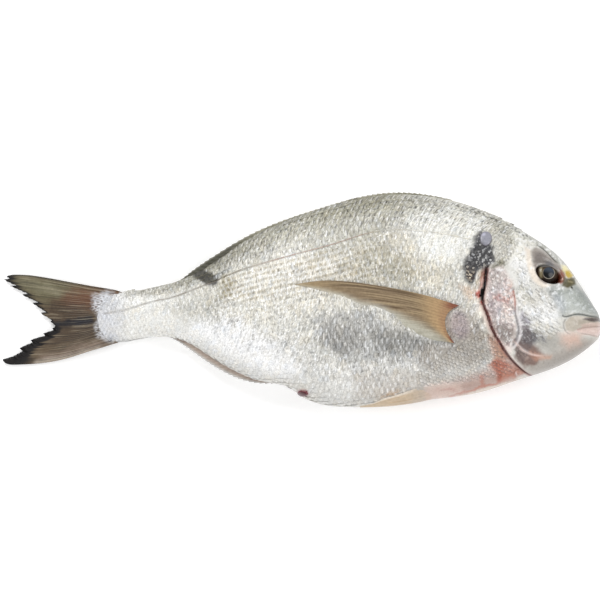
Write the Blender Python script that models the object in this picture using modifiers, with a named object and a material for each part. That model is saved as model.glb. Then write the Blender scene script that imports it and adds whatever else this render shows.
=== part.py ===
"""A whole raw sea bream, lying on its left flank with its right flank up.

Sizes are in millimetres in the fish's own axes, and the root empty scales them
to metres and puts the fish on its bounding box's bottom centre:
x runs from the tail's tips (0) to the lips, y from the belly to the back, and
z up from the table, from the left flank to the right one.

The body with its head is one solid, cut for the mouth, the gill slits and the
eye sockets. The eyeballs and the fins are set into it with a small gap.
"""

import math

import bmesh
import bpy
import numpy as np
from mathutils import Vector

MM = 0.001
GAP = 0.3
RIGHT, LEFT = 1.0, -1.0

# The body in side view: (x, y) along the ridge of the back and along the belly.
BACK = [
    (48, 9.6), (60, 13.6), (76, 15.8), (92, 20.6), (104, 26.8), (118, 36.4),
    (134, 45.6), (160, 55.2), (190, 62.4), (205, 62.8), (225, 60.0), (250, 50.8),
    (270, 39.0), (283, 27.8), (292, 14.6), (300.3, 1.6),
]
BELLY = [
    (48, -6.6), (58, -10.6), (68, -9.4), (80, -8.0), (92, -10.2), (104, -17.4),
    (118, -25.6), (132, -30.6), (144, -33.4), (151, -38.0), (160, -41.8),
    (176, -43.2), (195, -42.4), (215, -39.8), (240, -36.2), (258, -30.4),
    (272, -25.9), (284, -20.8), (294, -14.0), (300.3, -8.4),
]
# (x, half of the body's thickness) and (x, height of its middle plane over the
# table): the limp tail end droops, and the stiff head stays level.
HALF_THICKNESS = [
    (48, 2.0), (60, 3.8), (80, 6.0), (100, 9.4), (125, 13.2), (155, 16.6),
    (190, 18.4), (220, 18.7), (245, 17.6), (262, 15.4), (278, 11.8),
    (290, 8.6), (300.3, 5.8),
]
MIDDLE = [
    (0, 1.3), (30, 2.8), (48, 4.7), (62, 6.2), (80, 8.0), (100, 10.6),
    (125, 13.8), (155, 16.5), (190, 17.7), (220, 17.9), (300.3, 17.5),
]
TAIL_END, SNOUT_END = 48.4, 300.3
TAIL_CAP = 5.0
SNOUT_CAP_HIGH, SNOUT_CAP_THICK = 1.6, 5.0
# A section's flank swells as v**BELLY_BLUNT * (1 - v)**BACK_BLUNT, with v from
# 0 at the belly to 1 at the back. Lower powers are blunter.
BELLY_BLUNT, BACK_BLUNT = 0.45, 0.58
BODY_RINGS, BODY_SEGMENTS = 60, 34
RING_CROWDING = 0.5

# The rear edge of the gill cover and the gape of the mouth, from the top down
# and from the front back, in side view.
GILL_SLIT = [(243, 26), (241.4, 18.5), (240.4, 12.5), (241.6, 8), (244, 3), (246, -4),
             (249.6, -10.6), (253.6, -17), (258, -22), (262, -25.4)]
GILL_SLIT_RADIUS = 1.0
GAPE = [(302, -3.2), (293, -3.7), (289, -4.4), (286.3, -5.5)]
GAPE_HALF_HEIGHT = 0.45

EYE_CENTRE = (274.2, 24.2)
EYE_RADII = (6.2, 6.0, 4.2)
EYE_STANDS_OUT = 1.1

# The tail fin's lower and upper edges, from its root to its tips.
TAIL_LOWER = [(70, -5.0), (62, -10.4), (53, -13.0), (44, -15.4), (32, -19.4), (16, -22.3), (1.5, -20.6)]
TAIL_UPPER = [(70, 9.0), (62, 14.6), (52, 16.0), (38, 18.2), (24, 20.8), (12, 22.4), (1.5, 21.6)]
TAIL_FORK_DEPTH, TAIL_FORK_AT = 25.0, 0.46
TAIL_RAYS = 17
TAIL_RAGGED = 1.3
TAIL_THICK_ROOT, TAIL_THICK_TIP = 2.2, 0.7

# A folded fin's height over the body's own edge, along x.
DORSAL_HEIGHT = [(90, 0.2), (98, 3.4), (108, 4.2), (120, 3.4), (140, 1.9), (180, 1.5),
                 (210, 1.3), (226, 0.3)]
ANAL_HEIGHT = [(84, 0.2), (94, 3.2), (106, 4.0), (118, 3.4), (130, 1.7), (139, 0.2)]
FOLDED_THICK_ROOT, FOLDED_THICK_TIP = 2.4, 1.0
# How far under the skin a fin's root starts, so that the body cuts it off clean.
FOLDED_SUNK, PECTORAL_SUNK, PELVIC_SUNK = 3.0, 1.6, 1.2

# The pectoral fin's upper and lower edges in side view, from root to tip.
PECTORAL_UPPER = [(235, 5.5), (229, 7.4), (214, 11.7), (195, 16.0), (176, 18.8), (157, 19.1),
                  (147, 17.6)]
PECTORAL_LOWER = [(235, -9.0), (227, -11.4), (214, -9.4), (203, -6.5), (191, -0.8), (169, 14.5),
                  (147, 17.6)]
PECTORAL_THICK_ROOT, PECTORAL_THICK_TIP = 2.4, 0.8
PECTORAL_CLEAR = 1.0
PECTORAL_TIP_CUT = 0.985
PRESSED_THICK = 0.9
# The pelvic fin's outer edge: its height over the belly line, along x from root to tip.
PELVIC_OUTER = [(226, 6.6), (222, 7.2), (210, 5.6), (197, 4.2), (189, 2.6), (180, 0.6)]
PELVIC_INNER_SHARE = 0.0006
PELVIC_THICK_ROOT, PELVIC_THICK_TIP = 1.8, 0.8
PELVIC_CLEAR = 0.8


def spline(points):
    """The natural cubic through (x, y) points, as a function of x."""
    x, y = np.array(points, float).T
    h = np.diff(x)
    count = len(x)
    rows, right = np.eye(count), np.zeros(count)
    for i in range(1, count - 1):
        rows[i, i - 1 : i + 2] = h[i - 1], 2 * (h[i - 1] + h[i]), h[i]
        right[i] = 6 * ((y[i + 1] - y[i]) / h[i] - (y[i] - y[i - 1]) / h[i - 1])
    bend = np.linalg.solve(rows, right)

    def value(at):
        i = int(np.clip(np.searchsorted(x, at) - 1, 0, count - 2))
        a, b = x[i + 1] - at, at - x[i]
        cubic = (bend[i] * a**3 + bend[i + 1] * b**3) / (6 * h[i])
        start = (y[i] / h[i] - bend[i] * h[i] / 6) * a
        end = (y[i + 1] / h[i] - bend[i + 1] * h[i] / 6) * b
        return cubic + start + end

    return value


def path(points):
    """The cubic through (x, y) points that may turn back, as a function of 0 to 1."""
    points = np.array(points, float)
    steps = np.hypot(*np.diff(points, axis=0).T)
    at = np.concatenate([[0.0], np.cumsum(steps)]) / steps.sum()
    along_x, along_y = (spline(list(zip(at, axis))) for axis in points.T)
    return lambda t: (along_x(t), along_y(t))


def along(points):
    """Straight lines through (x, y) points, as a function of x."""
    x, y = np.array(points, float).T
    return lambda at: float(np.interp(at, x, y))


back, belly = spline(BACK), spline(BELLY)
half_thickness, middle = spline(HALF_THICKNESS), spline(MIDDLE)


def end_cap(x, snout_cap):
    """1 along the body, falling to 0 as a quarter ellipse at its two ends."""
    share = min((x - TAIL_END) / TAIL_CAP, (SNOUT_END - x) / snout_cap, 1.0)
    return math.sqrt(max(0.0, 1.0 - (1.0 - share) ** 2))


def swell(v):
    """The flank's fullness at height v of a section, 1 at its widest."""
    widest = BELLY_BLUNT / (BELLY_BLUNT + BACK_BLUNT)
    most = widest**BELLY_BLUNT * (1 - widest) ** BACK_BLUNT
    v = min(max(v, 0.0), 1.0)
    return v**BELLY_BLUNT * (1 - v) ** BACK_BLUNT / most


def body_point(x, v, side):
    """The point of the skin at x and section height v, flat where it lies on the table."""
    low, high = belly(x), back(x)
    y = (low + high) / 2 + (high - low) * (v - 0.5) * end_cap(x, SNOUT_CAP_HIGH)
    z = middle(x) + side * half_thickness(x) * swell(v) * end_cap(x, SNOUT_CAP_THICK)
    return Vector((x, y, max(z, 0.0)))


def height_share(x, y):
    """The section height v, 0 at the belly to 1 at the back, of a point in side view."""
    return (y - belly(x)) / (back(x) - belly(x))


def skin_normal(x, v, side):
    """The skin's outward direction, from its slopes along the body and round it."""
    step = 1e-3
    lengthways = body_point(x + 0.5, v, side) - body_point(x - 0.5, v, side)
    upwards = body_point(x, v + step, side) - body_point(x, max(v - step, 0.0), side)
    return (lengthways.cross(upwards) * side).normalized()


def over_skin(x, v, side, height):
    """The point that stands this high over the skin."""
    return body_point(x, v, side) + skin_normal(x, v, side) * height


# Objects and materials


def collection(name):
    made = bpy.data.collections.new(name)
    bpy.context.scene.collection.children.link(made)
    return made


def material(name, colour, roughness, metallic=0.0):
    made = bpy.data.materials.new(name)
    made.use_nodes = True
    shader = made.node_tree.nodes["Principled BSDF"]
    shader.inputs["Base Color"].default_value = (*colour, 1.0)
    shader.inputs["Roughness"].default_value = roughness
    shader.inputs["Metallic"].default_value = metallic
    return made


def add_mesh(name, mesh, into, finish=None):
    made = bpy.data.objects.new(name, mesh)
    into.objects.link(made)
    if finish:
        mesh.materials.append(finish)
    return made


def helper(name, mesh):
    """An object that only cuts others."""
    made = add_mesh(name, mesh, cutters)
    made.hide_render = True
    made.display_type = "WIRE"
    return made


def cut(target, cutter):
    modifier = target.modifiers.new("cut_by_" + cutter.name, "BOOLEAN")
    modifier.operation = "DIFFERENCE"
    modifier.solver = "EXACT"
    modifier.object = cutter


def mesh_of_curve(curve_data):
    """A closed mesh of a bevelled or extruded curve, its caps welded on."""
    source = bpy.data.objects.new("curve", curve_data)
    cutters.objects.link(source)
    graph = bpy.context.evaluated_depsgraph_get()
    mesh = bpy.data.meshes.new_from_object(source.evaluated_get(graph))
    bpy.data.objects.remove(source)
    bm = bmesh.new()
    bm.from_mesh(mesh)
    bmesh.ops.remove_doubles(bm, verts=bm.verts, dist=1e-4)
    bmesh.ops.recalc_face_normals(bm, faces=bm.faces)
    bm.to_mesh(mesh)
    bm.free()
    return mesh


# The body


def ring_place(share):
    """x of the ring at this share of the body's length, closer together at the ends."""
    eased = share - RING_CROWDING * math.sin(2 * math.pi * share) / (2 * math.pi)
    return TAIL_END + (SNOUT_END - TAIL_END) * eased


def body_mesh(name, grown=0.0):
    """A ball's rings moved onto the body's sections, its poles to the tail and snout."""
    bm = bmesh.new()
    bmesh.ops.create_uvsphere(
        bm, u_segments=BODY_SEGMENTS, v_segments=BODY_RINGS, radius=1.0
    )
    for vertex in bm.verts:
        from_tail = math.acos(max(-1.0, min(1.0, -vertex.co.z))) / math.pi
        turn = math.atan2(vertex.co.y, vertex.co.x)
        side = RIGHT if turn >= 0 else LEFT
        v = (1 - math.cos(turn)) / 2
        vertex.co = body_point(ring_place(from_tail), v, side)
    bm.normal_update()
    bmesh.ops.recalc_face_normals(bm, faces=bm.faces)
    if grown:
        bm.normal_update()
        for vertex in bm.verts:
            vertex.co += vertex.normal * grown
    mesh = bpy.data.meshes.new(name)
    bm.to_mesh(mesh)
    bm.free()
    mesh.shade_smooth()
    return mesh


def gill_slit_cutter(name, side):
    """A tapered tube laid into the skin along the gill cover's rear edge."""
    data = bpy.data.curves.new(name, "CURVE")
    data.dimensions = "3D"
    data.bevel_depth = GILL_SLIT_RADIUS
    data.bevel_resolution = 2
    data.use_fill_caps = True
    line = path(GILL_SLIT)
    count = 18
    strand = data.splines.new("POLY")
    strand.points.add(count - 1)
    for i, point in enumerate(strand.points):
        x, y = line(i / (count - 1))
        place = body_point(x, height_share(x, y), side)
        point.co = (*place, 1.0)
        point.radius = 0.45 + 0.9 * math.sin(math.pi * (0.2 + 0.8 * i / (count - 1)))
    return helper(name, mesh_of_curve(data))


def flat_outline(name, points, thickness):
    """A closed flat outline in the xy plane, extruded up and down from z 0."""
    data = bpy.data.curves.new(name, "CURVE")
    data.dimensions = "2D"
    data.fill_mode = "BOTH"
    data.extrude = thickness / 2
    strand = data.splines.new("POLY")
    strand.points.add(len(points) - 1)
    for point, (x, y) in zip(strand.points, points):
        point.co = (x, y, 0.0, 1.0)
    strand.use_cyclic_u = True
    return mesh_of_curve(data)


def mouth_cutter():
    """The thin curved wedge between the lips, through the whole snout."""
    line = path(GAPE)
    count = 7
    upper, lower = [], []
    for i in range(count):
        share = i / (count - 1)
        x, y = line(share)
        half = GAPE_HALF_HEIGHT * (1 - 0.8 * share)
        upper.append((x, y + half))
        lower.append((x, y - half))
    mesh = flat_outline("mouth_cut", upper + lower[::-1], 40.0)
    made = helper("mouth_cut", mesh)
    made.location.z = middle(GAPE[1][0])
    return made


def eye_place(side):
    x, y = EYE_CENTRE
    v = height_share(x, y)
    depth = EYE_RADII[2] - EYE_STANDS_OUT
    return body_point(x, v, side) - skin_normal(x, v, side) * depth


def eye_ball(name, side, grown=0.0):
    """A flattened ball that looks out square to the skin."""
    bm = bmesh.new()
    bmesh.ops.create_uvsphere(bm, u_segments=20, v_segments=12, radius=1.0)
    for vertex in bm.verts:
        vertex.co = [c * (r + grown) for c, r in zip(vertex.co, EYE_RADII)]
    mesh = bpy.data.meshes.new(name)
    bm.to_mesh(mesh)
    bm.free()
    mesh.shade_smooth()
    return mesh


def set_eye(made, side):
    x, y = EYE_CENTRE
    out = skin_normal(x, height_share(x, y), side)
    made.location = eye_place(side)
    made.rotation_euler = out.to_track_quat("Z", "Y").to_euler()


# The fins


def fin(name, finish, columns, rows, place, thickness):
    """A grid laid out by place(u, v), u from root to tip and v across, then
    thickened to thickness(u, v), which is most at the root, and cut clear of the body."""
    most = thickness(0.0, 0.0)
    bm = bmesh.new()
    bmesh.ops.create_grid(bm, x_segments=columns, y_segments=rows, size=1.0)
    shares = [((p.co.x + 1) / 2, (p.co.y + 1) / 2) for p in bm.verts]
    for vertex, (u, v) in zip(bm.verts, shares):
        vertex.co = place(u, v)
    mesh = bpy.data.meshes.new(name)
    bm.to_mesh(mesh)
    bm.free()
    made = add_mesh(name, mesh, parts, finish)
    group = made.vertex_groups.new(name="thickness")
    for index, (u, v) in enumerate(shares):
        group.add([index], min(1.0, thickness(u, v) / most), "REPLACE")
    solid = made.modifiers.new("thickness", "SOLIDIFY")
    solid.thickness = most
    solid.offset = 0.0
    solid.vertex_group = group.name
    cut(made, clearance)
    return made


def mix(a, b, share):
    return a + (b - a) * share


def tail_fin():
    lower, upper = path(TAIL_LOWER), path(TAIL_UPPER)

    def place(u, v):
        (lx, ly), (ux, uy) = lower(u), upper(u)
        near = v / TAIL_FORK_AT if v < TAIL_FORK_AT else (1 - v) / (1 - TAIL_FORK_AT)
        ragged = TAIL_RAGGED * (0.5 - abs((v * TAIL_RAYS) % 1 - 0.5)) * 2 * u**6
        x = mix(lx, ux, v) + (TAIL_FORK_DEPTH * near**1.15 - ragged) * u
        return (max(x, 0.0), mix(ly, uy, v), middle(x))

    def thickness(u, v):
        return mix(TAIL_THICK_ROOT, TAIL_THICK_TIP, u**0.7)

    fin("tail_fin", dark_fin, 9, 2 * TAIL_RAYS, place, thickness)


def folded_fin(name, finish, edge, height, outwards):
    """A median fin folded down to a low ridge along the body's edge."""
    height_at = spline(height)
    start, end = height[0][0], height[-1][0]

    def place(u, v):
        x = mix(start, end, u)
        rise = mix(-FOLDED_SUNK, max(height_at(x), 0.15), v)
        return (x, edge(x) + outwards * rise, middle(x))

    def thickness(u, v):
        return mix(FOLDED_THICK_ROOT, FOLDED_THICK_TIP, v)

    fin(name, finish, 24, 2, place, thickness)


def right_pectoral_fin():
    """The fin that lies back along the upper flank, from its fleshy base."""
    upper, lower = path(PECTORAL_UPPER), path(PECTORAL_LOWER)

    def thickness(u, v):
        return mix(PECTORAL_THICK_ROOT, PECTORAL_THICK_TIP, min(1.0, u / 0.25))

    def place(u, v):
        (lx, ly), (ux, uy) = lower(PECTORAL_TIP_CUT * u), upper(PECTORAL_TIP_CUT * u)
        x, y = mix(lx, ux, v), mix(ly, uy, v)
        rise = mix(-PECTORAL_SUNK, PECTORAL_CLEAR, min(1.0, u / 0.14))
        return over_skin(x, height_share(x, y), RIGHT, rise + thickness(u, v) / 2)

    fin("pectoral_fin_right", tan_fin, 18, 6, place, thickness)


def pectoral_outline(grown):
    """The pectoral fin's outline in side view, grown by a margin."""
    upper, lower = path(PECTORAL_UPPER[1:]), path(PECTORAL_LOWER[1:])
    count = 16
    top = [upper(i / (count - 1)) for i in range(count - 1)]
    bottom = [lower(i / (count - 1)) for i in range(count)]
    loop = [Vector(p) for p in top + bottom[::-1]]
    grown_loop = []
    for i, point in enumerate(loop):
        ahead = loop[(i + 1) % len(loop)] - loop[i - 1]
        outward = Vector((ahead.y, -ahead.x)).normalized()
        grown_loop.append(point + outward * grown)
    return [tuple(p) for p in grown_loop]


def left_pectoral_fin():
    """The fin under the fish, flat on the table and pressed into the flank."""
    name = "pectoral_fin_left"
    made = add_mesh(name, flat_outline(name, pectoral_outline(0.0), PRESSED_THICK), parts, tan_fin)
    made.location.z = PRESSED_THICK / 2
    name = "pectoral_print"
    pressed = helper(name, flat_outline(name, pectoral_outline(GAP), 4 * PRESSED_THICK))
    pressed.location.z = GAP - PRESSED_THICK
    cut(body, pressed)


def pelvic_fin(name, side):
    """A fin folded back along the belly, just off the middle line."""
    outer = along(sorted(PELVIC_OUTER))
    start, end = PELVIC_OUTER[0][0], PELVIC_OUTER[-1][0]

    def thickness(u, v):
        return mix(PELVIC_THICK_ROOT, PELVIC_THICK_TIP, min(1.0, u / 0.3))

    def place(u, v):
        x = mix(start, end, u)
        outer_v = height_share(x, belly(x) + outer(x))
        share = mix(math.sqrt(PELVIC_INNER_SHARE), math.sqrt(outer_v), v) ** 2
        rise = mix(-PELVIC_SUNK, PELVIC_CLEAR, min(1.0, u / 0.12))
        return over_skin(x, share, side, rise + thickness(u, v) / 2)

    fin(name, pale_fin, 14, 4, place, thickness)


def stand_on_origin():
    """Scales to metres and puts the middle of the fish's footprint at the origin."""
    bpy.context.view_layer.update()
    graph = bpy.context.evaluated_depsgraph_get()
    low, high = Vector((1e9, 1e9, 1e9)), Vector((-1e9, -1e9, -1e9))
    for made in parts.objects:
        shown = made.evaluated_get(graph)
        for vertex in shown.data.vertices:
            place = shown.matrix_world @ vertex.co
            low = Vector(map(min, low, place))
            high = Vector(map(max, high, place))
    root = bpy.data.objects.new("sea_bream", None)
    parts.objects.link(root)
    root.scale = (MM, MM, MM)
    root.location = [-MM * (low.x + high.x) / 2, -MM * (low.y + high.y) / 2, -MM * low.z]
    for made in [*parts.objects, *cutters.objects]:
        if made != root:
            made.parent = root
    bpy.context.view_layer.update()


for old in list(bpy.data.objects):
    bpy.data.objects.remove(old)
parts, cutters = collection("sea_bream"), collection("cutters")
silver_skin = material("silver_skin", (0.62, 0.63, 0.58), 0.3, 0.35)
dark_fin = material("dark_fin", (0.20, 0.19, 0.13), 0.45)
tan_fin = material("tan_fin", (0.50, 0.40, 0.25), 0.4)
pale_fin = material("pale_fin", (0.74, 0.66, 0.58), 0.4)
eye_black = material("eye_black", (0.03, 0.035, 0.05), 0.08)

body = add_mesh("body", body_mesh("body"), parts, silver_skin)
clearance = helper("body_clearance", body_mesh("body_clearance", grown=GAP))
cut(body, mouth_cutter())
for side, word in ((RIGHT, "right"), (LEFT, "left")):
    cut(body, gill_slit_cutter("gill_slit_" + word, side))
    socket = helper("eye_socket_" + word, eye_ball("eye_socket_" + word, side, grown=GAP))
    eye = add_mesh("eye_" + word, eye_ball("eye_" + word, side), parts, eye_black)
    for ball in (socket, eye):
        set_eye(ball, side)
    cut(body, socket)
    pelvic_fin("pelvic_fin_" + word, side)
right_pectoral_fin()
left_pectoral_fin()
tail_fin()
folded_fin("dorsal_fin", dark_fin, back, DORSAL_HEIGHT, 1.0)
folded_fin("anal_fin", dark_fin, belly, ANAL_HEIGHT, -1.0)
stand_on_origin()
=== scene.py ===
"""Looks of a whole raw sea bream lying on its left flank.

Lengths are in millimetres in the fish's own axes until a mesh is made: x from
the tail's tips to the lips, y from belly to back, z up from the table. The
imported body's box says where that lies in the row's frame. Side RIGHT is the
flank that faces up, LEFT the one on the table.

A place on the skin is (x, v, side), with v from 0 on the ridge of the belly to
1 on the ridge of the back. What is drawn on the skin is a field over (x, y),
the side view, so both flanks get it.
"""

import math

import bpy
import numpy as np
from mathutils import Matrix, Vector


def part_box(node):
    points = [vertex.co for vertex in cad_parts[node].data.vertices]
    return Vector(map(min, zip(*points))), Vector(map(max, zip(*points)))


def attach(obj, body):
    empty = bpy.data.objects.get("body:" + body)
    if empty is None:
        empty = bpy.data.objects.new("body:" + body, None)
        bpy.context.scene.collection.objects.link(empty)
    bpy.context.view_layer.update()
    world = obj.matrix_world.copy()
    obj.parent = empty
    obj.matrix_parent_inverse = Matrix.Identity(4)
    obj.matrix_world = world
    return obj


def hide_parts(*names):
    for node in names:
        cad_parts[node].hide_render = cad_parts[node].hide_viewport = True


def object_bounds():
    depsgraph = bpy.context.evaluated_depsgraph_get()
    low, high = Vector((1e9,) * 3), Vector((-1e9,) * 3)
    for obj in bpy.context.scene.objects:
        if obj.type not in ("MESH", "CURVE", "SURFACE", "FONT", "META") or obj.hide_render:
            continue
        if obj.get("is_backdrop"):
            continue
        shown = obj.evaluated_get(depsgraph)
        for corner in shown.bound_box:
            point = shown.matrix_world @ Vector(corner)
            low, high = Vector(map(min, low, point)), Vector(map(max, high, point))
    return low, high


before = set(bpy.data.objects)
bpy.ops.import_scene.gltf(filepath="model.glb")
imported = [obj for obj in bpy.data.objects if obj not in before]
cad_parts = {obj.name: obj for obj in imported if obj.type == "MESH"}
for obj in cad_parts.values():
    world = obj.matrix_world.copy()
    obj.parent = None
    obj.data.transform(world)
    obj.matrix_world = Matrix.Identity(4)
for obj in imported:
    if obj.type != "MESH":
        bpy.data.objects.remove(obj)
cad_bounds = [list(corner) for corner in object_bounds()]

RIGHT, LEFT = 1.0, -1.0
ROOT = "root"

# The body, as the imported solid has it.
BACK = [
    (48, 9.6), (60, 13.6), (76, 15.8), (92, 20.6), (104, 26.8), (118, 36.4),
    (134, 45.6), (160, 55.2), (190, 62.4), (205, 62.8), (225, 60.0), (250, 50.8),
    (270, 39.0), (283, 27.8), (292, 14.6), (300.3, 1.6),
]
BELLY = [
    (48, -6.6), (58, -10.6), (68, -9.4), (80, -8.0), (92, -10.2), (104, -17.4),
    (118, -25.6), (132, -30.6), (144, -33.4), (151, -38.0), (160, -41.8),
    (176, -43.2), (195, -42.4), (215, -39.8), (240, -36.2), (258, -30.4),
    (272, -25.9), (284, -20.8), (294, -14.0), (300.3, -8.4),
]
HALF_THICKNESS = [
    (48, 2.0), (60, 3.8), (80, 6.0), (100, 9.4), (125, 13.2), (155, 16.6),
    (190, 18.4), (220, 18.7), (245, 17.6), (262, 15.4), (278, 11.8),
    (290, 8.6), (300.3, 5.8),
]
MIDDLE = [
    (0, 1.3), (30, 2.8), (48, 4.7), (62, 6.2), (80, 8.0), (100, 10.6),
    (125, 13.8), (155, 16.5), (190, 17.7), (220, 17.9), (300.3, 17.5),
]
TAIL_END, SNOUT_END = 48.4, 300.3
TAIL_CAP = 5.0
TAIL_ROOT_HALF = 0.85
SNOUT_CAP_HIGH, SNOUT_CAP_THICK = 1.6, 5.0
BELLY_BLUNT, BACK_BLUNT = 0.45, 0.58
HEAD_FROM = 235.0

# Lines over the side view, from the top down or from the front back.
LATERAL_LINE = [
    (48, 2.6), (54, 3.5), (64, 5.5), (76.5, 9.2), (87, 11.5), (95, 14.5), (107.5, 19.5),
    (118, 24), (134, 29), (152, 34), (169, 38.6), (185, 43.6), (198, 45.0), (214, 44.2),
    (233, 40.6), (250, 36),
]
GILL_SLIT = [
    (246.6, 30), (244.2, 26.5), (242.8, 18.5), (241.6, 12.8), (241.7, 8.5), (243.8, 3), (246, -4),
    (249.6, -10.6), (253.6, -17), (258, -22), (262, -25.4), (266.5, -28.4),
]
PREOPERCLE = [
    (256.2, 15.5), (257.3, 9.5), (257.5, 3.5), (258.8, -2), (259.0, -6.8), (257.4, -11),
    (254.4, -14.4),
]
INTEROPERCLE = [(257.2, -10.8), (261.4, -15.2), (266.8, -17.5), (272.5, -18.2)]
LIP_GROOVE = [(280.4, 2.7), (282.6, 1.7), (285.2, 2.2), (288.6, 2.9), (292.4, 2.5), (296.4, 1.8), (301, 1.7)]
GAPE = [(301.5, -3.2), (298, -3.4), (293, -3.8), (289.4, -4.6), (286.8, -5.6)]
LOWER_LIP = [(288.4, -6.4), (291.6, -7.0), (295, -7.5), (298.4, -8.3), (301, -9)]
BLOTCH = [
    (240.8, 45.6), (237.4, 41.2), (235.4, 36.2), (232.8, 31.6), (231.6, 26.8), (232.4, 20.2), (235.2, 17.0),
    (238.0, 20.5), (238.6, 24.4), (241.0, 25.6), (241.0, 20.5), (243.6, 20.5), (244.4, 26.0),
    (247.4, 27.8), (246.6, 32.5), (246.6, 37.0), (243.5, 38.5),
]
GILL_COVER = [(244.2, 25), (251, 26.4), (255.8, 19), (257, 12), (257, 2), (258.2, -4), (256.6, -9.6),
              (254, -15), (246.6, -9), (243.8, 0), (242.0, 8), (243, 16)]
MAXILLA = [(283.6, 1.2), (281.9, -1.2), (282.0, -4.0), (284.0, -6.6), (286.4, -7.2)]
SNOUT = [(277, 14.6), (286.4, 16), (292.6, 12.4), (298.4, 4.2), (293, 3.4), (287.4, 3.8), (281.6, 2.8), (278, 7)]
BROW_LINE = [(267, 38.4), (271.4, 35.5), (275, 32.0), (277.6, 29.6), (280.6, 27.6)]

ORBIT, ORBIT_RADII, ORBIT_TURN = (274.2, 23.0), (7.0, 4.5), -27.0
PECTORAL_PAD, PAD_RADII, PAD_TURN = (229.6, -2.2), (6.0, 9.6), 12.0
VENT, VENT_RADII = (151.4, -36.6), (2.7, 1.5)
DISC, DISC_RADII = (242.8, 40.7), (3.1, 3.6)

NOSTRILS = [(285.9, 16.2)]

MICRO = 1e-6


# Small mathematics


def spline(points):
    """The natural cubic through (x, y) points, as a function of an array of x."""
    x, y = np.array(points, float).T
    h = np.diff(x)
    count = len(x)
    rows, right = np.eye(count), np.zeros(count)
    for i in range(1, count - 1):
        rows[i, i - 1 : i + 2] = h[i - 1], 2 * (h[i - 1] + h[i]), h[i]
        right[i] = 6 * ((y[i + 1] - y[i]) / h[i] - (y[i] - y[i - 1]) / h[i - 1])
    bend = np.linalg.solve(rows, right)

    def value(at):
        i = np.clip(np.searchsorted(x, at) - 1, 0, count - 2)
        a, b = x[i + 1] - at, at - x[i]
        cubic = (bend[i] * a**3 + bend[i + 1] * b**3) / (6 * h[i])
        start = (y[i] / h[i] - bend[i] * h[i] / 6) * a
        end = (y[i + 1] / h[i] - bend[i + 1] * h[i] / 6) * b
        return cubic + start + end

    return value


def path(points):
    """The cubic through points that may turn back, as a function of shares 0 to 1."""
    points = np.array(points, float)
    steps = np.linalg.norm(np.diff(points, axis=0), axis=1)
    at = np.concatenate([[0.0], np.cumsum(steps)]) / steps.sum()
    axes = [spline(list(zip(at, axis))) for axis in points.T]
    return lambda share: np.stack([axis(share) for axis in axes], -1)


def smooth(low, high, value):
    """0 below low, 1 above high and an eased rise between. low may be the greater."""
    share = np.clip((value - low) / (high - low), 0.0, 1.0)
    return share * share * (3 - 2 * share)


def mix(a, b, share):
    return a + (b - a) * share


def spot(x, y, centre, radii, turn=0.0, soft=0.6):
    """1 inside a turned ellipse, falling to 0 at its edge over the soft share of it."""
    turn = math.radians(turn)
    dx, dy = x - centre[0], y - centre[1]
    along = (dx * math.cos(turn) + dy * math.sin(turn)) / radii[0]
    across = (dy * math.cos(turn) - dx * math.sin(turn)) / radii[1]
    return smooth(1.0, 1.0 - soft, np.hypot(along, across))


def patch(x, y, corners, soft=0.8, ragged=0.0):
    """1 inside a many-cornered outline, easing to 0 over its soft and ragged edge."""
    wobble = ragged * cloudy(noise_b, x, y, 2.6)
    x, y = x + wobble, y - wobble
    inside = np.zeros(np.shape(x), bool)
    away = np.full(np.shape(x), 1e9)
    for (ax, ay), (bx, by) in zip(corners, corners[1:] + corners[:1]):
        dx, dy = bx - ax, by - ay
        t = np.clip(((x - ax) * dx + (y - ay) * dy) / (dx * dx + dy * dy), 0, 1)
        away = np.minimum(away, np.hypot(x - ax - t * dx, y - ay - t * dy))
        crossed = ((ay > y) != (by > y)) & (x < dx * (y - ay) / (dy + MICRO) + ax)
        inside = inside ^ crossed
    return smooth(-soft, soft, np.where(inside, away, -away))


def line_distance(x, y, points, samples=160):
    """How far each place is from a smooth line, signed by its side, and how far
    along the line its nearest point is, from 0 to 1."""
    share = np.linspace(0, 1, samples)
    line = path(points)(share)
    flat_x, flat_y = np.ravel(x), np.ravel(y)
    best = np.full(flat_x.shape, 1e9)
    side, at = np.zeros(flat_x.shape), np.zeros(flat_x.shape)
    for i in range(samples - 1):
        (ax, ay), (bx, by) = line[i], line[i + 1]
        dx, dy = bx - ax, by - ay
        t = np.clip(((flat_x - ax) * dx + (flat_y - ay) * dy) / (dx * dx + dy * dy), 0, 1)
        ox, oy = flat_x - ax - t * dx, flat_y - ay - t * dy
        away = ox * ox + oy * oy
        nearer = away < best
        best = np.where(nearer, away, best)
        side = np.where(nearer, dx * oy - dy * ox, side)
        at = np.where(nearer, mix(share[i], share[i + 1], t), at)
    signed = np.sqrt(best) * np.where(side < 0, -1.0, 1.0)
    return signed.reshape(np.shape(x)), at.reshape(np.shape(x))


def make_noise(seed, size=64):
    """Smooth 2-D value noise between -1 and 1, as a function of x and y."""
    table = np.random.default_rng(seed).uniform(-1, 1, (size, size))

    def value(x, y):
        ix, iy = np.floor(x).astype(int), np.floor(y).astype(int)
        fx, fy = x - ix, y - iy
        fx, fy = fx * fx * (3 - 2 * fx), fy * fy * (3 - 2 * fy)
        corner = lambda i, j: table[(ix + i) % size, (iy + j) % size]
        low = mix(corner(0, 0), corner(1, 0), fx)
        high = mix(corner(0, 1), corner(1, 1), fx)
        return mix(low, high, fy)

    return value


noise_a, noise_b, noise_c = (make_noise(seed) for seed in (3, 14, 29))


def cloudy(noise, x, y, size):
    """Three octaves of a noise whose largest lumps are about this size."""
    total = noise(x / size, y / size)
    total = total + 0.5 * noise(2.1 * x / size + 7.3, 2.1 * y / size + 1.9)
    return (total + 0.25 * noise(4.3 * x / size + 2.1, 4.3 * y / size + 5.7)) / 1.75


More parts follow.
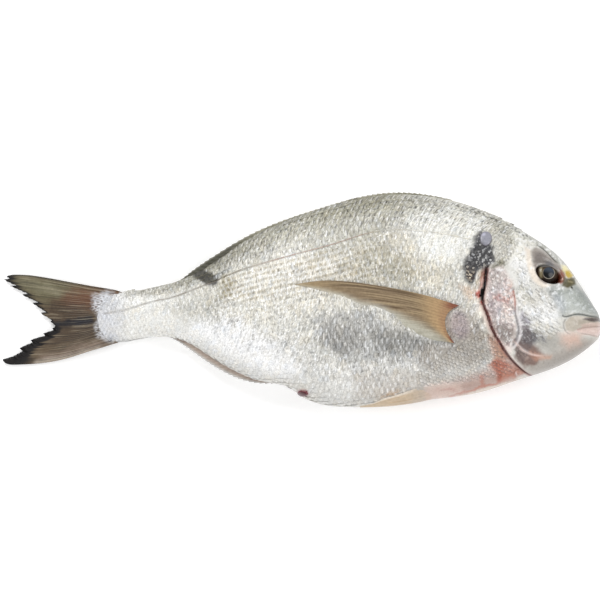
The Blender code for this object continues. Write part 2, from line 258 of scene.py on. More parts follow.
def wrinkles(x, y, size, stretch, turn, width=0.2):
    """Thin winding lines about this far apart, drawn out along a direction."""
    turn = math.radians(turn)
    along, across = x * math.cos(turn) + y * math.sin(turn), y * math.cos(turn) - x * math.sin(turn)
    field = noise_a(along / (size * stretch), across / size) + 0.35 * noise_b(along / size, across / size)
    return smooth(width, 0.0, np.abs(field))


def rgb(code):
    """Linear red, green and blue of a hex colour."""
    values = [int(code[i : i + 2], 16) / 255 for i in (1, 3, 5)]
    return np.array([v / 12.92 if v <= 0.04045 else ((v + 0.055) / 1.055) ** 2.4 for v in values])


def tint(colours, code, amount):
    """Moves colours towards a hex colour by an amount at each place."""
    return mix(colours, rgb(code), np.asarray(amount)[..., None])


# The body's shape

back, belly = spline(BACK), spline(BELLY)
half_thickness, middle = spline(HALF_THICKNESS), spline(MIDDLE)
lateral_line = spline(LATERAL_LINE)


def end_cap(x, snout_cap):
    share = np.clip(np.minimum((x - TAIL_END) / TAIL_CAP, (SNOUT_END - x) / snout_cap), 0, 1)
    return np.sqrt(np.maximum(0.0, 1.0 - (1.0 - share) ** 2))


def swell(v):
    widest = BELLY_BLUNT / (BELLY_BLUNT + BACK_BLUNT)
    most = widest**BELLY_BLUNT * (1 - widest) ** BACK_BLUNT
    v = np.clip(v, 0.0, 1.0)
    return v**BELLY_BLUNT * (1 - v) ** BACK_BLUNT / most


def bare_skin(x, v, side):
    """The points of the plain body, before any relief. It thins out over the tail's root."""
    low, high = belly(x), back(x)
    y = (low + high) / 2 + (high - low) * (v - 0.5) * end_cap(x, SNOUT_CAP_HIGH)
    half = np.where(x < 150, half_thickness(x), half_thickness(x) * end_cap(x, SNOUT_CAP_THICK))
    half = half - (half_thickness(TAIL_END) - TAIL_ROOT_HALF) * smooth(62, TAIL_END, x)
    z = middle(x) + side * half * swell(v)
    return np.stack([x + 0 * y, y, z], -1)


def height_share(x, y):
    return (y - belly(x)) / (back(x) - belly(x))


def side_height(x, v):
    """y in side view at section height v."""
    return belly(x) + (back(x) - belly(x)) * v


def unit(vectors):
    return vectors / np.maximum(np.linalg.norm(vectors, axis=-1, keepdims=True), MICRO)


def skin_normal(x, v, side):
    """Outward directions of the plain body."""
    v = np.clip(v, 1e-4, 1 - 1e-4)
    x = np.clip(x, TAIL_END + 0.4, SNOUT_END - 0.4)
    step = np.minimum(0.004, np.minimum(v, 1 - v) / 2)
    lengthways = bare_skin(x + 0.3, v, side) - bare_skin(x - 0.3, v, side)
    upwards = bare_skin(x, v + step, side) - bare_skin(x, v - step, side)
    return unit(np.cross(lengthways, upwards)) * side


slit_line = path(GILL_SLIT)(np.linspace(0, 1, 80))
SLIT_TOP, SLIT_FOOT = slit_line[0, 1], slit_line[-1, 1]


def behind_slit(x, y):
    """How far towards the tail each place is from the gill slit's line."""
    order = np.argsort(slit_line[:, 1])
    return np.interp(y, slit_line[order, 1], slit_line[order, 0]) - x


def slit_openness(y):
    """How wide the gill slit gapes, from 0 to 1: widest at its top, closing downwards."""
    rise = smooth(SLIT_TOP, SLIT_TOP - 5, y) * mix(1.0, 0.55, smooth(15, 20, y))
    return rise * mix(0.30, 1.0, smooth(8.5, 12.5, y)) * smooth(SLIT_FOOT, SLIT_FOOT + 3, y)


def ridge(distance, width):
    return np.exp(-((distance / width) ** 2))


def orbit_reach(x, y):
    """Distance from the middle of the eye's opening: 1 on its rim."""
    turn = math.radians(ORBIT_TURN)
    dx, dy = x - ORBIT[0], y - ORBIT[1]
    along = (dx * math.cos(turn) + dy * math.sin(turn)) / ORBIT_RADII[0]
    across = dy * math.cos(turn) - dx * math.sin(turn)
    return np.hypot(along, across / np.where(across > 0, ORBIT_RADII[1] * 0.8, ORBIT_RADII[1]))


def head_relief(x, y):
    """How far the head's plates, lips and folds stand out from the plain body."""
    u = behind_slit(x, y)
    gape = slit_openness(y)
    relief = 0.85 * smooth(-9, -1.0, u) * smooth(0.25, -0.35, u) * smooth(SLIT_TOP + 2, SLIT_TOP - 8, y)
    relief -= 2.4 * gape * ridge(u - 0.7 * gape, 0.35 + 0.95 * gape)
    fold, at = line_distance(x, y, PREOPERCLE)
    ends = smooth(0, 0.12, at) * smooth(1, 0.85, at)
    relief -= 0.55 * ends * ridge(fold, 0.55)
    relief += 0.35 * ends * ridge(fold - 1.5, 1.3)
    fold, at = line_distance(x, y, INTEROPERCLE)
    relief -= 0.35 * smooth(1, 0.7, at) * ridge(fold, 0.6)
    reach = orbit_reach(x, y)
    relief += 1.0 * ridge(reach - 1.12, 0.16) - 0.4 * ridge(reach - 1.55, 0.22)
    relief += 0.9 * spot(x, y, (270.5, 32.5), (9, 4.2), -38, 0.9)
    relief -= 5.0 * smooth(1.0, 0.84, reach)
    fold, at = line_distance(x, y, BROW_LINE)
    relief -= 0.4 * smooth(0, 0.15, at) * smooth(1, 0.8, at) * ridge(fold, 0.5)
    fold, at = line_distance(x, y, LIP_GROOVE)
    relief -= 0.75 * smooth(0, 0.08, at) * ridge(fold, 0.45)
    fold, at = line_distance(x, y, GAPE)
    relief -= 0.6 * smooth(1, 0.8, at) * ridge(fold, 0.42)
    relief += 0.9 * smooth(1, 0.55, at) * (ridge(fold - 2.3, 1.5) + 0.8 * ridge(fold + 1.9, 1.2))
    fold, at = line_distance(x, y, LOWER_LIP)
    relief -= 0.5 * smooth(0, 0.2, at) * ridge(fold, 0.5)
    fold, at = line_distance(x, y, MAXILLA)
    relief -= 0.5 * smooth(0, 0.15, at) * smooth(1, 0.8, at) * ridge(fold, 0.45)
    relief += 0.7 * spot(x, y, (285.6, -1.8), (3.4, 4.0), 0, 0.8)
    for centre in NOSTRILS:
        relief -= 0.9 * spot(x, y, centre, (0.75, 0.5), -50, 0.7)
        relief += 0.25 * ridge(np.hypot(x - centre[0], y - centre[1]) - 1.1, 0.4)
    relief += 0.5 * spot(x, y, (266, -2), (11, 13), 20, 0.9)
    return relief


def trunk_relief(x, y):
    """The fin's fleshy base, the dent before the tail, the crumpled skin of the
    charcoal mark and slack skin."""
    relief = 1.3 * spot(x, y, PECTORAL_PAD, PAD_RADII, PAD_TURN, 0.75)
    relief -= 0.7 * spot(x, y, (110, 21), (10, 3.0), 28, 0.9)
    crumpled = patch(x, y, BLOTCH, 1.5)
    relief += crumpled * (0.30 * cloudy(noise_c, x, y, 1.5) - 0.1)
    relief += 0.35 * cloudy(noise_a, x, y, 26)
    return relief


def pressed_floor(x, y):
    """How high the underside stays over the table: over the flattened fin it is raised."""
    inside = np.minimum(y - fin_lower_edge(x), fin_upper_edge(x) - y)
    return 1.25 * smooth(-2.5, 0.2, inside) * smooth(146, 150, x) * smooth(233, 229, x)


def fin_upper_edge(x):
    return np.interp(x, [147, 157, 176, 195, 214, 229], [17.6, 19.1, 18.8, 16.0, 11.7, 7.4])


def fin_lower_edge(x):
    return np.interp(x, [147, 160, 173, 182, 191, 203, 214, 227], [17.7, 14.9, 10.0, 5.4, 0.2, -5.9, -9.9, -11.4])


def rest_on_table(points, x, y, least=0.0):
    """Keeps points of the left flank over the table and over the fin pressed into it."""
    floor = pressed_floor(x, y) + least
    low = points[..., 2] < floor
    points[..., 2] = np.where(low, floor, points[..., 2])
    return points


def relief(x, y):
    near_head = smooth(HEAD_FROM - 1.0, HEAD_FROM + 1.0, x)
    return near_head * head_relief(x, y) + trunk_relief(x, y) * smooth(262, 240, x)


def skin(x, v, side, lift=0.0):
    """The points of the finished skin, or of what lies this far over it."""
    y = side_height(x, v)
    edges = smooth(0, 0.02, v) * smooth(1, 0.98, v)
    ends = smooth(TAIL_END, TAIL_END + 4, x) * mix(0.4, 1.0, smooth(SNOUT_END, SNOUT_END - 2, x))
    bumps = relief(x, y)
    bumps = np.where(bumps > 0, bumps * smooth(0, 0.06, v) * smooth(1, 0.9, v), bumps)
    out = (bumps * edges * ends + lift)[..., None]
    points = bare_skin(x, v, side) + skin_normal(x, v, side) * out
    return rest_on_table(points, x, y) if side == LEFT else points


# What the skin is coloured

# Marks: a colour, how strong, how soft and how ragged the edge is, and the outline.
TRUNK_MARKS = [
    ("#b5b2a0", 0.50, 3.0, 2.0, [(108, 15), (116, 16), (130, 25), (132, 31), (120, 29), (110, 22)]),
    ("#a5a291", 0.72, 5.0, 2.0, [(150, 35), (160, 46), (178, 50), (194, 48), (192, 38), (172, 33), (158, 31)]),
    ("#f7f3e8", 0.28, 6.0, 2.0, [(104, 24), (124, 30), (150, 33), (170, 28), (172, 2), (150, -8), (120, -6),
                                 (106, 2)]),
    ("#efece0", 0.60, 6.0, 2.0, [(112, 2), (119, 14), (126, 25), (143, 25), (151, 14), (148, -2), (136, -8),
                                 (120, -6)]),
    ("#a9a490", 0.80, 5.0, 2.0, [(170, 26), (184, 38), (196, 38), (203, 31), (208, 23), (206, 16), (194, 20),
                                 (180, 20)]),
    ("#a7a6a3", 0.72, 3.5, 2.5, [(157, 0), (168, 4), (186, 4), (198, -5), (214, -9), (232, -10), (238, -16),
                                 (216, -23), (192, -22), (170, -20), (159, -10)]),
    ("#8f8e8b", 0.65, 2.5, 2.5, [(160, -4), (170, -1), (180, -5), (180, -15), (170, -18), (161, -12)]),
    ("#82817d", 0.68, 2.5, 2.5, [(186, -5), (198, -5), (212, -8), (222, -10), (214, -16), (200, -17), (187, -15)]),
    ("#9b9389", 0.72, 3.0, 1.5, [(210, -13), (224, -11), (234, -2), (240, -2), (243, -9), (247, -17), (238, -23),
                                 (218, -26), (208, -22)]),
    ("#b3ada4", 0.85, 4.0, 1.5, [(176, -26), (198, -25), (222, -27), (240, -25), (236, -33), (206, -40),
                                 (178, -40)]),
    ("#fdfcf4", 0.90, 5.0, 1.5, [(203, 50), (212, 57), (226, 57), (244, 51), (241, 36), (232, 31), (220, 28), (210, 32)]),
    ("#ffffff", 0.95, 6.0, 2.0, [(90, -8), (102, 0), (120, 0), (138, -12), (150, -26), (138, -28), (116, -20),
                                 (100, -10)]),
    ("#a79c91", 0.60, 2.5, 1.2, [(231, 6), (238, 5), (240, -2), (241, -10), (233, -9)]),
    ("#e6c3a4", 0.60, 2.5, 1.2, [(230, 17), (239, 16), (239, 10), (234, 10)]),
    ("#fbf3e8", 0.90, 1.2, 0.8, [(236.8, 11), (240.6, 10.4), (243, 2), (247, -7), (251.4, -14), (248.8, -12.5),
                                 (244.2, -5), (240.2, 2), (236.8, 6)]),
    ("#c9c5bd", 0.45, 3.0, 1.5, [(216, -17), (230, -16), (232, -23), (216, -24)]),
    ("#a49a90", 0.40, 3.0, 1.5, [(184, -40), (190, -33), (236, -29), (240, -34), (210, -42)]),
    ("#b88a70", 0.85, 2.0, 1.2, [(244, -8), (249, -10), (256, -19), (247, -21)]),
    ("#b5968a", 0.85, 3.0, 1.0, [(214, -36), (232, -29), (244, -24), (262, -26), (258, -32), (234, -38),
                                 (214, -41)]),
    ("#b4694c", 0.75, 1.6, 1.2, [(243.6, -22.5), (247.5, -19.4), (252, -19.4), (258, -23), (262, -26),
                                 (258, -28), (251.4, -31), (248.6, -31), (248, -26.4)]),
    ("#a2543a", 0.75, 1.2, 1.0, [(245.5, -21.6), (249.5, -20.2), (254.5, -22.6), (251, -24.6), (250, -31),
                                 (248.6, -31), (247.6, -25)]),
    ("#d9c0b4", 0.70, 1.6, 1.0, [(212, -33), (222, -31), (230, -32.4), (232, -36), (222, -39.4), (212, -40)]),
    ("#ddd0c1", 0.80, 1.0, 0.6, [(228, -38.4), (240, -34.6), (252, -31.6), (262, -28.6), (258, -31), (240, -36.6),
                                 (228, -39.4)]),
    ("#b4705a", 0.75, 0.6, 1.2, [(224, -38.0), (230, -36.4), (237, -34.0), (242, -32.4), (249, -31.4),
                                 (249, -32.6), (241, -34.0), (232, -37.0), (225, -38.8)]),
    ("#b4705a", 0.65, 0.8, 1.0, [(239.6, -27.5), (242.2, -28), (242.2, -32.5), (240.6, -32.5)]),
    ("#b98a80", 0.55, 0.6, 1.2, [(218, -34.2), (224, -33.6), (229, -35.4), (229, -36.2), (223, -34.8)]),
    ("#b7b5a9", 0.60, 5.0, 2.0, [(82, 6), (92, 15), (106, 19), (113, 10), (108, 1), (94, 1)]),
    ("#9b998a", 0.65, 2.6, 1.5, [(62, 12), (78, 13.4), (92, 17), (98, 20), (94, 24), (76, 19), (60, 16)]),
    ("#8d8b7a", 0.50, 2.6, 1.5, [(92, 18), (96, 22), (104, 29), (112, 34), (122, 41), (131, 44), (122, 34), (112, 26),
                                 (104, 22)]),
    ("#1b1811", 0.97, 0.9, 1.2, [(94.4, 24.6), (97.6, 20.8), (103, 17.6), (108.4, 18.0), (109.4, 21.6), (104, 24.4),
                                 (98, 27.4)]),
    ("#3d3a2c", 0.60, 1.3, 1.0, [(104, 26.4), (112, 31), (120, 38), (118, 39.4), (108, 33), (102, 27.6)]),
    # Grey-blue scar in the dent behind the black mark; its paleness is a painted highlight.
    ("#9fa3a4", 0.80, 0.9, 0.5, [(107, 20.6), (110, 21.4), (116, 25.8), (115, 27), (109, 24)]),
    ("#bf9767", 0.65, 1.0, 1.0, [(189.6, -38.8), (194, -36.2), (199.4, -34.8), (197.6, -37.0), (193, -38.4)]),
    ("#958c6c", 0.85, 2.0, 1.2, [(108.5, 10), (116, 12), (118, 21), (112, 22)]),
]
HEAD_MARKS = [
    ("#ffffff", 0.60, 2.0, 1.0, [(255, 31), (262, 33), (265, 26), (264, 18), (258, 17), (254, 24)]),
    ("#7d776e", 0.75, 1.5, 2.0, [(244.5, 32), (250, 32), (251.6, 27), (249, 24), (244.5, 24.5)]),
    ("#edebdf", 0.85, 3.0, 1.5, [(243, 52), (262, 46), (272, 37.5), (262, 37), (256, 30), (246, 30)]),
    ("#8f8d74", 0.58, 1.8, 2.4, [(246, 46), (252, 46.5), (256, 42), (254, 38), (252.6, 33), (252, 26),
                                 (247, 26), (246.5, 34), (244.5, 38)]),
    ("#f7f5ec", 0.80, 1.4, 1.4, [(248.6, 39.4), (252, 37), (262, 38), (262, 34), (266, 28), (259, 30),
                                 (254, 33)]),
    ("#a9aaa2", 0.55, 1.0, 0.6, [(256, 46.6), (270, 39.4), (283, 28), (281, 27.2), (268, 37.6),
                                 (256, 44.6)]),
    ("#a5aaa4", 0.95, 3.4, 1.8, [(275.6, 15.8), (286.6, 17.4), (293.4, 13), (300.5, 3), (299, 1.6),
                                 (293, 2.2), (287.5, 2.7), (281.4, 1.4), (280.4, 6.6), (278.6, 11.4)]),
    ("#b3b7b6", 0.75, 2.6, 1.2, [(271, 17.4), (279, 17.6), (282, 9), (278.6, 6), (275.5, 11)]),
    ("#a39d78", 0.20, 1.6, 2.0, [(254, 26), (258, 26), (262.5, 17), (266, 9), (262, 10), (258.6, 17)]),
    ("#b4b9b3", 0.60, 2.5, 0.8, [(278, 15.5), (287, 15), (290, 9), (286, 5), (281, 9)]),
    ("#868c8a", 0.70, 1.6, 0.8, [(285.6, 19), (293.2, 13.6), (301, 3), (297.4, 2.6), (292, 10.4),
                                 (286.4, 16.6)]),
    ("#a3aab2", 0.60, 2.0, 0.8, [(276, 13), (281, 12), (283, 6), (281, 3), (278.6, 6)]),
    ("#ffffff", 0.60, 2.4, 1.0, [(259, 9), (264, 6), (276, 8), (279, 3), (278, -3), (269, 0), (263, 2)]),
    ("#a5a19a", 0.80, 3.0, 1.0, [(267, -7), (279, -7), (283, -12), (277, -17), (268, -14)]),
    ("#aca49c", 0.90, 3.0, 0.6, [(266, -18), (276, -16), (284, -12), (292, -9), (302, -9), (296, -16),
                                 (280, -24), (260, -31)]),
    ("#9f9993", 0.60, 2.4, 0.6, [(286, -14.6), (296, -10.6), (300, -12), (290, -19), (276, -26),
                                 (262, -31), (266, -27)]),
    ("#f1e4de", 0.90, 1.2, 0.8, [(243.6, 25), (251.4, 27), (255.3, 19.2), (256.7, 13.6), (257.3, 8.4),
                                 (256.9, 2.5), (258.1, -3.1), (257.8, -6.4), (256.9, -9.7),
                                 (255.3, -16.4), (246.8, -9.7), (243.8, -3.6), (242.2, 2.5), (239.4, 10.3)]),
    ("#a391a0", 0.35, 1.5, 2.0, [(244, 17), (250, 17), (252, 12), (250, 2), (246, -2), (244, 4),
                                 (243, 10)]),
    ("#ad4a34", 0.45, 0.8, 2.6, [(245, 14), (248.6, 12), (253.6, 11), (255.6, 17), (256.4, 12),
                                 (254.4, 7.4), (250.6, 8.4), (246.4, 9.8)]),
    ("#dfa592", 0.20, 1.4, 2.2, [(252, 20), (256.4, 20), (257, 8), (253.6, 3), (250.5, 4), (252.4, 11)]),
    ("#aaa3a2", 0.50, 2.0, 1.5, [(243.6, 25), (251.4, 25.4), (253, 19), (249, 12.6), (244, 14)]),
    ("#6a6059", 0.70, 2.0, 2.2, [(247.5, -4.6), (254.2, -2.6), (257.5, -6.4), (255.8, -9.9),
                                 (253.6, -11), (249.7, -9.2)]),
    ("#765a50", 0.92, 1.8, 1.6, [(256.4, -9.6), (261, -9.6), (267.6, -12.4), (271, -16.6), (268.4, -21.6),
                                 (262.4, -24), (257.6, -19)]),
    ("#d8bfb2", 0.50, 0.8, 1.4, [(257.4, -11.4), (260, -13), (264.4, -19), (263, -20.6), (259.6, -16.6)]),
    ("#cf9a80", 0.60, 1.4, 1.2, [(264, -15.6), (269, -17), (275.5, -17.4), (275, -19.4), (267, -20)]),
    ("#55545c", 0.90, 1.6, 1.2, [(259.6, -5.2), (263.4, -3.9), (267.6, -6.2), (269, -10), (264.6, -12.6),
                                 (259.8, -10.8)]),
    ("#8a84a2", 0.50, 1.2, 1.8, [(258.6, 4), (261, 4.6), (265.4, -1), (264.6, -5), (260.4, -4)]),
    ("#6b5f5e", 0.60, 1.4, 1.8, [(257.8, -1), (262, 0), (266, -5), (266, -14), (262.4, -22), (257.6, -18)]),
    ("#4c4b54", 0.70, 0.6, 0.4, [(269.2, -6.6), (270.6, -7.0), (273.0, -11.2), (271.4, -10.6)]),
    ("#d4ab98", 0.75, 3.8, 1.2, [(281, -7.4), (287, -5.8), (291, -7.6), (290, -11.4), (284, -13),
                                 (280.6, -10.6)]),
    ("#c2b9ab", 0.95, 0.6, 0.2, [(282.4, -0.8), (285, 1.4), (288.6, 2.2), (293.1, 1.7), (301, 1.2),
                                 (301, -3.1), (294.2, -3.3), (289.2, -4.2), (286.4, -5.8), (283, -5.0)]),
    ("#aa9f90", 0.60, 1.2, 0.6, [(285.5, -0.4), (290, 0.6), (294, -0.6), (292, -2.4), (287.6, -2.2)]),
    ("#d6b7ad", 0.60, 0.8, 0.4, [(290, -2.2), (296, -1.2), (301, -1.4), (301, -3), (291, -3.6)]),
    ("#4b403d", 0.95, 0.6, 0.4, [(291, 0.6), (293, 1.2), (301, 1.1), (301, -0.9), (295, -0.9)]),
    ("#ddc4bb", 0.90, 0.6, 0.2, [(288.6, -4.6), (294, -3.9), (301, -3.6), (301, -8.2), (298, -7.9),
                                 (293, -6.9), (288.8, -6.2)]),
]
PAD_RIM = [(222.4, 4.4), (224.6, 4.8), (224.8, -1), (226.8, -8.6), (224.6, -9.4), (222.6, -3)]
EYE_MARKS = [
    ("#f3e7d8", 0.90, 1.0, 0.6, [(262.4, 36.6), (265.2, 35.2), (265.6, 30.5), (266.2, 26.6), (268.4, 22.0),
                                 (271.8, 18.2), (275, 17.2), (271, 16.4), (266.6, 19.4), (264.2, 24.6),
                                 (263, 30.6)]),
    ("#a39b93", 0.95, 0.9, 0.5, [(265.2, 34.6), (267.6, 36.4), (272.0, 34.8), (276.4, 30.8), (280.2, 27.2),
                                 (281.6, 24.4), (279.2, 22.6), (274, 27), (269, 28), (266.4, 26.4),
                                 (265.9, 30)]),
    ("#7b736e", 0.85, 1.4, 0.5, [(266.8, 33.4), (270, 33.4), (275.2, 29.8), (279.4, 26), (278, 24.6),
                                 (272, 27.4), (267.6, 27.6), (266.8, 29.6)]),
    ("#4c4d54", 0.75, 1.0, 0.3, [(272.2, 28.8), (275.0, 29.4), (277.4, 26.8), (275.6, 26.0), (272.4, 26.6)]),
    ("#8a7b74", 0.85, 0.5, 0.3, [(266.6, 27.4), (267.8, 27.4), (268.8, 23.6), (271.2, 20.0), (273.6, 18.6),
                                 (272.4, 17.8), (269.6, 19.6), (267.4, 23.2)]),
    ("#84442f", 0.95, 0.6, 0.4, [(279.6, 25.6), (281.8, 25.2), (282.8, 22.4), (282.6, 18.6), (280, 17.6),
                                 (278.4, 18.8), (279.6, 21.6)]),
    ("#efe5b4", 0.95, 0.9, 0.4, [(280.6, 27.4), (283.2, 27.0), (284.6, 24.8), (283.6, 23.4), (281.4, 24.6)]),
    ("#c9ab2c", 0.92, 0.7, 0.4, [(282.8, 24.6), (284.8, 24.8), (286.6, 22.2), (286.0, 20.8), (284.0, 21.2),
                                 (282.8, 22.4)]),
    ("#4f471a", 0.95, 0.7, 0.5, [(281.6, 21.4), (284.4, 21.0), (287.6, 20.8), (288.2, 17.6), (284, 16.2),
                                 (281.0, 17.0)]),
    ("#cdbd94", 0.35, 0.4, 0.3, [(284.0, 20.2), (286.6, 19.0), (286.2, 18.4), (284.0, 19.2)]),
    ("#efc6b6", 0.85, 0.3, 0.1, [(280.0, 20.5), (281, 20.7), (281.1, 19.8), (280.3, 19.5)]),
]
BACK_DOTS, FOREHEAD_DOTS = (226, 250, 2.1), (251, 266, 1.9)


def put_marks(colours, x, y, marks):
    for code, strength, softness, ragged, corners in marks:
        colours = tint(colours, code, strength * patch(x, y, corners, softness, ragged))
    return colours


def dots_under_back(colours, x, y, dots, depth):
    """A row of dark dots just inside the edge of the back."""
    start, end, gap = dots
    phase = (x - start) / gap
    number = np.floor(phase)
    wander = noise_c(number * 1.7, 0 * number)
    across = (back(x) - y - depth - 0.5 * wander) / 0.75
    along = (phase - number - 0.5) * gap / 0.75
    seen = smooth(1.0, 0.5, np.hypot(across, along)) * smooth(start, start + 2, x) * smooth(end, end - 2, x)
    return tint(colours, "#34342f", 0.75 * seen)


def trunk_paint(x, y):
    """The trunk's colours: olive back, silver flank, cream below the lateral line,
    white tail root and pink breast."""
    colours = np.broadcast_to(rgb("#cfcdc4"), (*np.shape(x), 3))
    over_line = y - lateral_line(x)
    from_back, from_belly = back(x) - y, y - belly(x)
    cloud_big, cloud_small = cloudy(noise_a, x, y, 22), cloudy(noise_b, x, y, 7)
    forward = smooth(95, 140, x)
    to_nape = mix(1.0, 0.30, smooth(188, 212, x))
    colours = tint(colours, "#b6b3a0", smooth(1, 11, over_line) * 0.85 * forward * to_nape)
    colours = tint(colours, "#85826a", smooth(9, 3, from_back + 2 * cloud_small) * mix(0.1, 0.42, smooth(140, 176, x)) * forward * to_nape)
    colours = tint(colours, "#5c5b50", smooth(3.0, 0.6, from_back + cloud_small) * 0.35 * forward * to_nape)
    # Painted sheen: a faint pale band along the flank just above the lateral line.
    painted_sheen_band = ridge(over_line - 3, 5) * smooth(105, 150, x) * smooth(232, 200, x)
    colours = tint(colours, "#e1dfd5", 0.15 * painted_sheen_band)
    below = smooth(0, -3, over_line) * smooth(-36, -18, over_line + 4 * cloud_big)
    colours = tint(colours, "#dbd4c1", 0.70 * below * forward * smooth(232, 214, x))
    colours = tint(colours, "#dbdad6", 0.8 * smooth(34, 18, from_belly + 4 * cloud_big) * smooth(100, 130, x))
    colours = tint(colours, "#d3d1cb", 0.6 * smooth(9, 2, from_belly))
    colours = tint(colours, "#efeee9", 0.80 * smooth(112, 84, x + 5 * cloud_small))
    colours = tint(colours, "#c3c5cc", 0.75 * smooth(66, 54, x + 3 * cloud_small))
    colours = tint(colours, "#a8a289", 0.6 * smooth(8, 2, from_back) * smooth(62, 92, x) * smooth(122, 104, x))
    colours = put_marks(colours, x, y, TRUNK_MARKS)
    colours = tint(colours, "#a8999a", 0.85 * spot(x, y, PECTORAL_PAD, PAD_RADII, PAD_TURN, 0.5))
    colours = tint(colours, "#7a5f56", 0.70 * patch(x, y, PAD_RIM, 1.3, 0.8))
    colours = blotch(colours, x, y)
    colours = dots_under_back(colours, x, y, BACK_DOTS, 2.0)
    return tint(colours, "#9c5a58", 0.7 * spot(x, y, VENT, (4.5, 3.0), 0, 0.7))


def blotch(colours, x, y):
    """The charcoal mark behind the head, over the top of the gill cover."""
    dark = patch(x, y, BLOTCH, 0.8, 1.2)
    colours = tint(colours, "#323238", 0.88 * dark)
    colours = tint(colours, "#5b5b61", 0.55 * dark * smooth(0, 0.5, cloudy(noise_a, x, y, 2.2)))
    cream = spot(x, y, (239.4, 21.0), (2.2, 5.0), -14, 0.6)
    colours = tint(colours, "#d8cab4", 0.85 * cream)
    return tint(colours, "#6d5440", 0.7 * cream * wrinkles(x, y, 1.1, 1.2, 30, 0.25))


def head_paint(x, y):
    """The head's colours: pale cheek, blue-grey snout, pinkish gill cover, pale chin, with painted white
    glints over the gill cover, crown and cheek.
    """
    colours = np.broadcast_to(rgb("#e0ded7"), (*np.shape(x), 3))
    fine, finer = cloudy(noise_c, x, y, 2.2), cloudy(noise_b, x, y, 1.0)
    from_back = back(x) - y
    colours = put_marks(colours, x, y, HEAD_MARKS)
    flecks = smooth(0.05, 0.4, fine) * spot(x, y, (250, 36), (8, 14), -20, 0.6)
    colours = tint(colours, "#6f6d4c", 0.5 * flecks)
    gill_cover = patch(x, y, GILL_COVER, 1.5)
    crown = spot(x, y, (249.6, 33), (7, 13), -14, 0.5) * (1 - gill_cover)
    cheek = smooth(255, 259, x) * smooth(-16, -6, y + 0.3 * (x - 270)) * smooth(284, 274, x - 0.4 * (y - 10))
    colours = tint(colours, "#6f5257", 0.56 * gill_cover * wrinkles(x, y, 1.8, 2.2, -58, 0.24))
    # Painted glints: white flecks over the gill cover.
    colours = tint(colours, "#ffffff", 0.75 * gill_cover * smooth(0.15, 0.5, cloudy(noise_a, x, y, 1.1)))
    colours = tint(colours, "#4f4d33", 0.85 * crown * wrinkles(x, y, 1.4, 2.0, -50, 0.26))
    # Painted glints: white flecks over the crown, fewer low down.
    colours = tint(colours, "#ffffff", 0.85 * crown * smooth(27, 31, y) * smooth(-0.05, 0.35, cloudy(noise_a, x, y, 1.2)))
    throat = spot(x, y, (262.4, -16), (7.5, 7.5), 0, 0.5)
    colours = tint(colours, "#5f4a44", 0.55 * throat * wrinkles(x, y, 1.3, 2.4, -50, 0.28))
    colours = tint(colours, "#5f5f57", 0.58 * cheek * wrinkles(x, y, 1.0, 2.6, -42, 0.17))
    # Painted glints: white flecks over the cheek.
    colours = tint(colours, "#ffffff", 0.70 * cheek * smooth(0.05, 0.45, cloudy(noise_a, x, y, 1.1)))
    snout = patch(x, y, SNOUT, 2.2)
    colours = tint(colours, "#6d7573", 0.45 * snout * wrinkles(x, y, 1.0, 1.8, 52, 0.2))
    colours = tint(colours, "#e3e7e9", 0.50 * snout * smooth(0.05, 0.45, cloudy(noise_a, x, y, 1.1)))
    colours = tint(colours, "#7d8078", smooth(1.6, 0.2, from_back) * 0.45)
    colours = dots_under_back(colours, x, y, FOREHEAD_DOTS, 1.6)
    colours = eye_surround(colours, x, y)
    colours = mouth_lines(colours, x, y)
    rough = smooth(-22, -8, y + 0.35 * (x - 270)) * smooth(296, 276, x)
    return colours * (1 + mix(0.015, 0.05, rough) * fine + mix(0.01, 0.10, rough) * finer)[..., None]


def blood_and_folds(colours, x, y):
    """Dark red in the gill slit with painted shade where it gapes, red and grey along the cheek's fold."""
    u = behind_slit(x, y)
    gape = slit_openness(y)
    here = smooth(SLIT_TOP - 2, SLIT_TOP - 6, y) * smooth(SLIT_FOOT - 1, SLIT_FOOT + 1, y)
    stain = ridge(u - 0.7, 1.9) * here
    colours = tint(colours, "#a0644c", 0.5 * stain)
    colours = tint(colours, "#7c3526", 0.75 * ridge(u - 0.4, 1.0) * here)
    colours = tint(colours, "#b5654b", 0.6 * smooth(26, 22, y) * smooth(11, 14, y) * ridge(u - 2.4, 0.8))
    red = spot(x, y, (238.9, 12.8), (2.0, 2.8), 25, 0.7) + spot(x, y, (240.6, 9.6), (1.0, 2.6), 10, 0.7)
    colours = tint(colours, "#b8351a", 0.95 * np.clip(red, 0, 1))
    core = ridge(u - 0.75 * gape, mix(0.6, 1.2, gape)) * here
    colours = tint(colours, "#541f18", 0.95 * smooth(0.2, 0.65, core))
    # Painted shade: near-black in the open gill slit, deepest where it gapes widest.
    colours = tint(colours, "#120b0c", smooth(0.3, 0.6, core * gape))
    fold, at = line_distance(x, y, PREOPERCLE)
    colours = tint(colours, "#a84a28", 0.9 * ridge(fold, 0.45) * smooth(0.5, 0.2, at) * smooth(0, 0.04, at))
    colours = tint(colours, "#8a858a", 0.75 * ridge(fold, 0.5) * smooth(0.2, 0.4, at) * smooth(1, 0.9, at))
    colours = tint(colours, "#f4eef0", 0.6 * ridge(fold - 1.1, 0.5) * smooth(0.1, 0.4, at) * smooth(1, 0.9, at))
    fold, at = line_distance(x, y, INTEROPERCLE)
    return tint(colours, "#f0dad2", 0.7 * ridge(fold, 0.45) * smooth(1, 0.7, at))


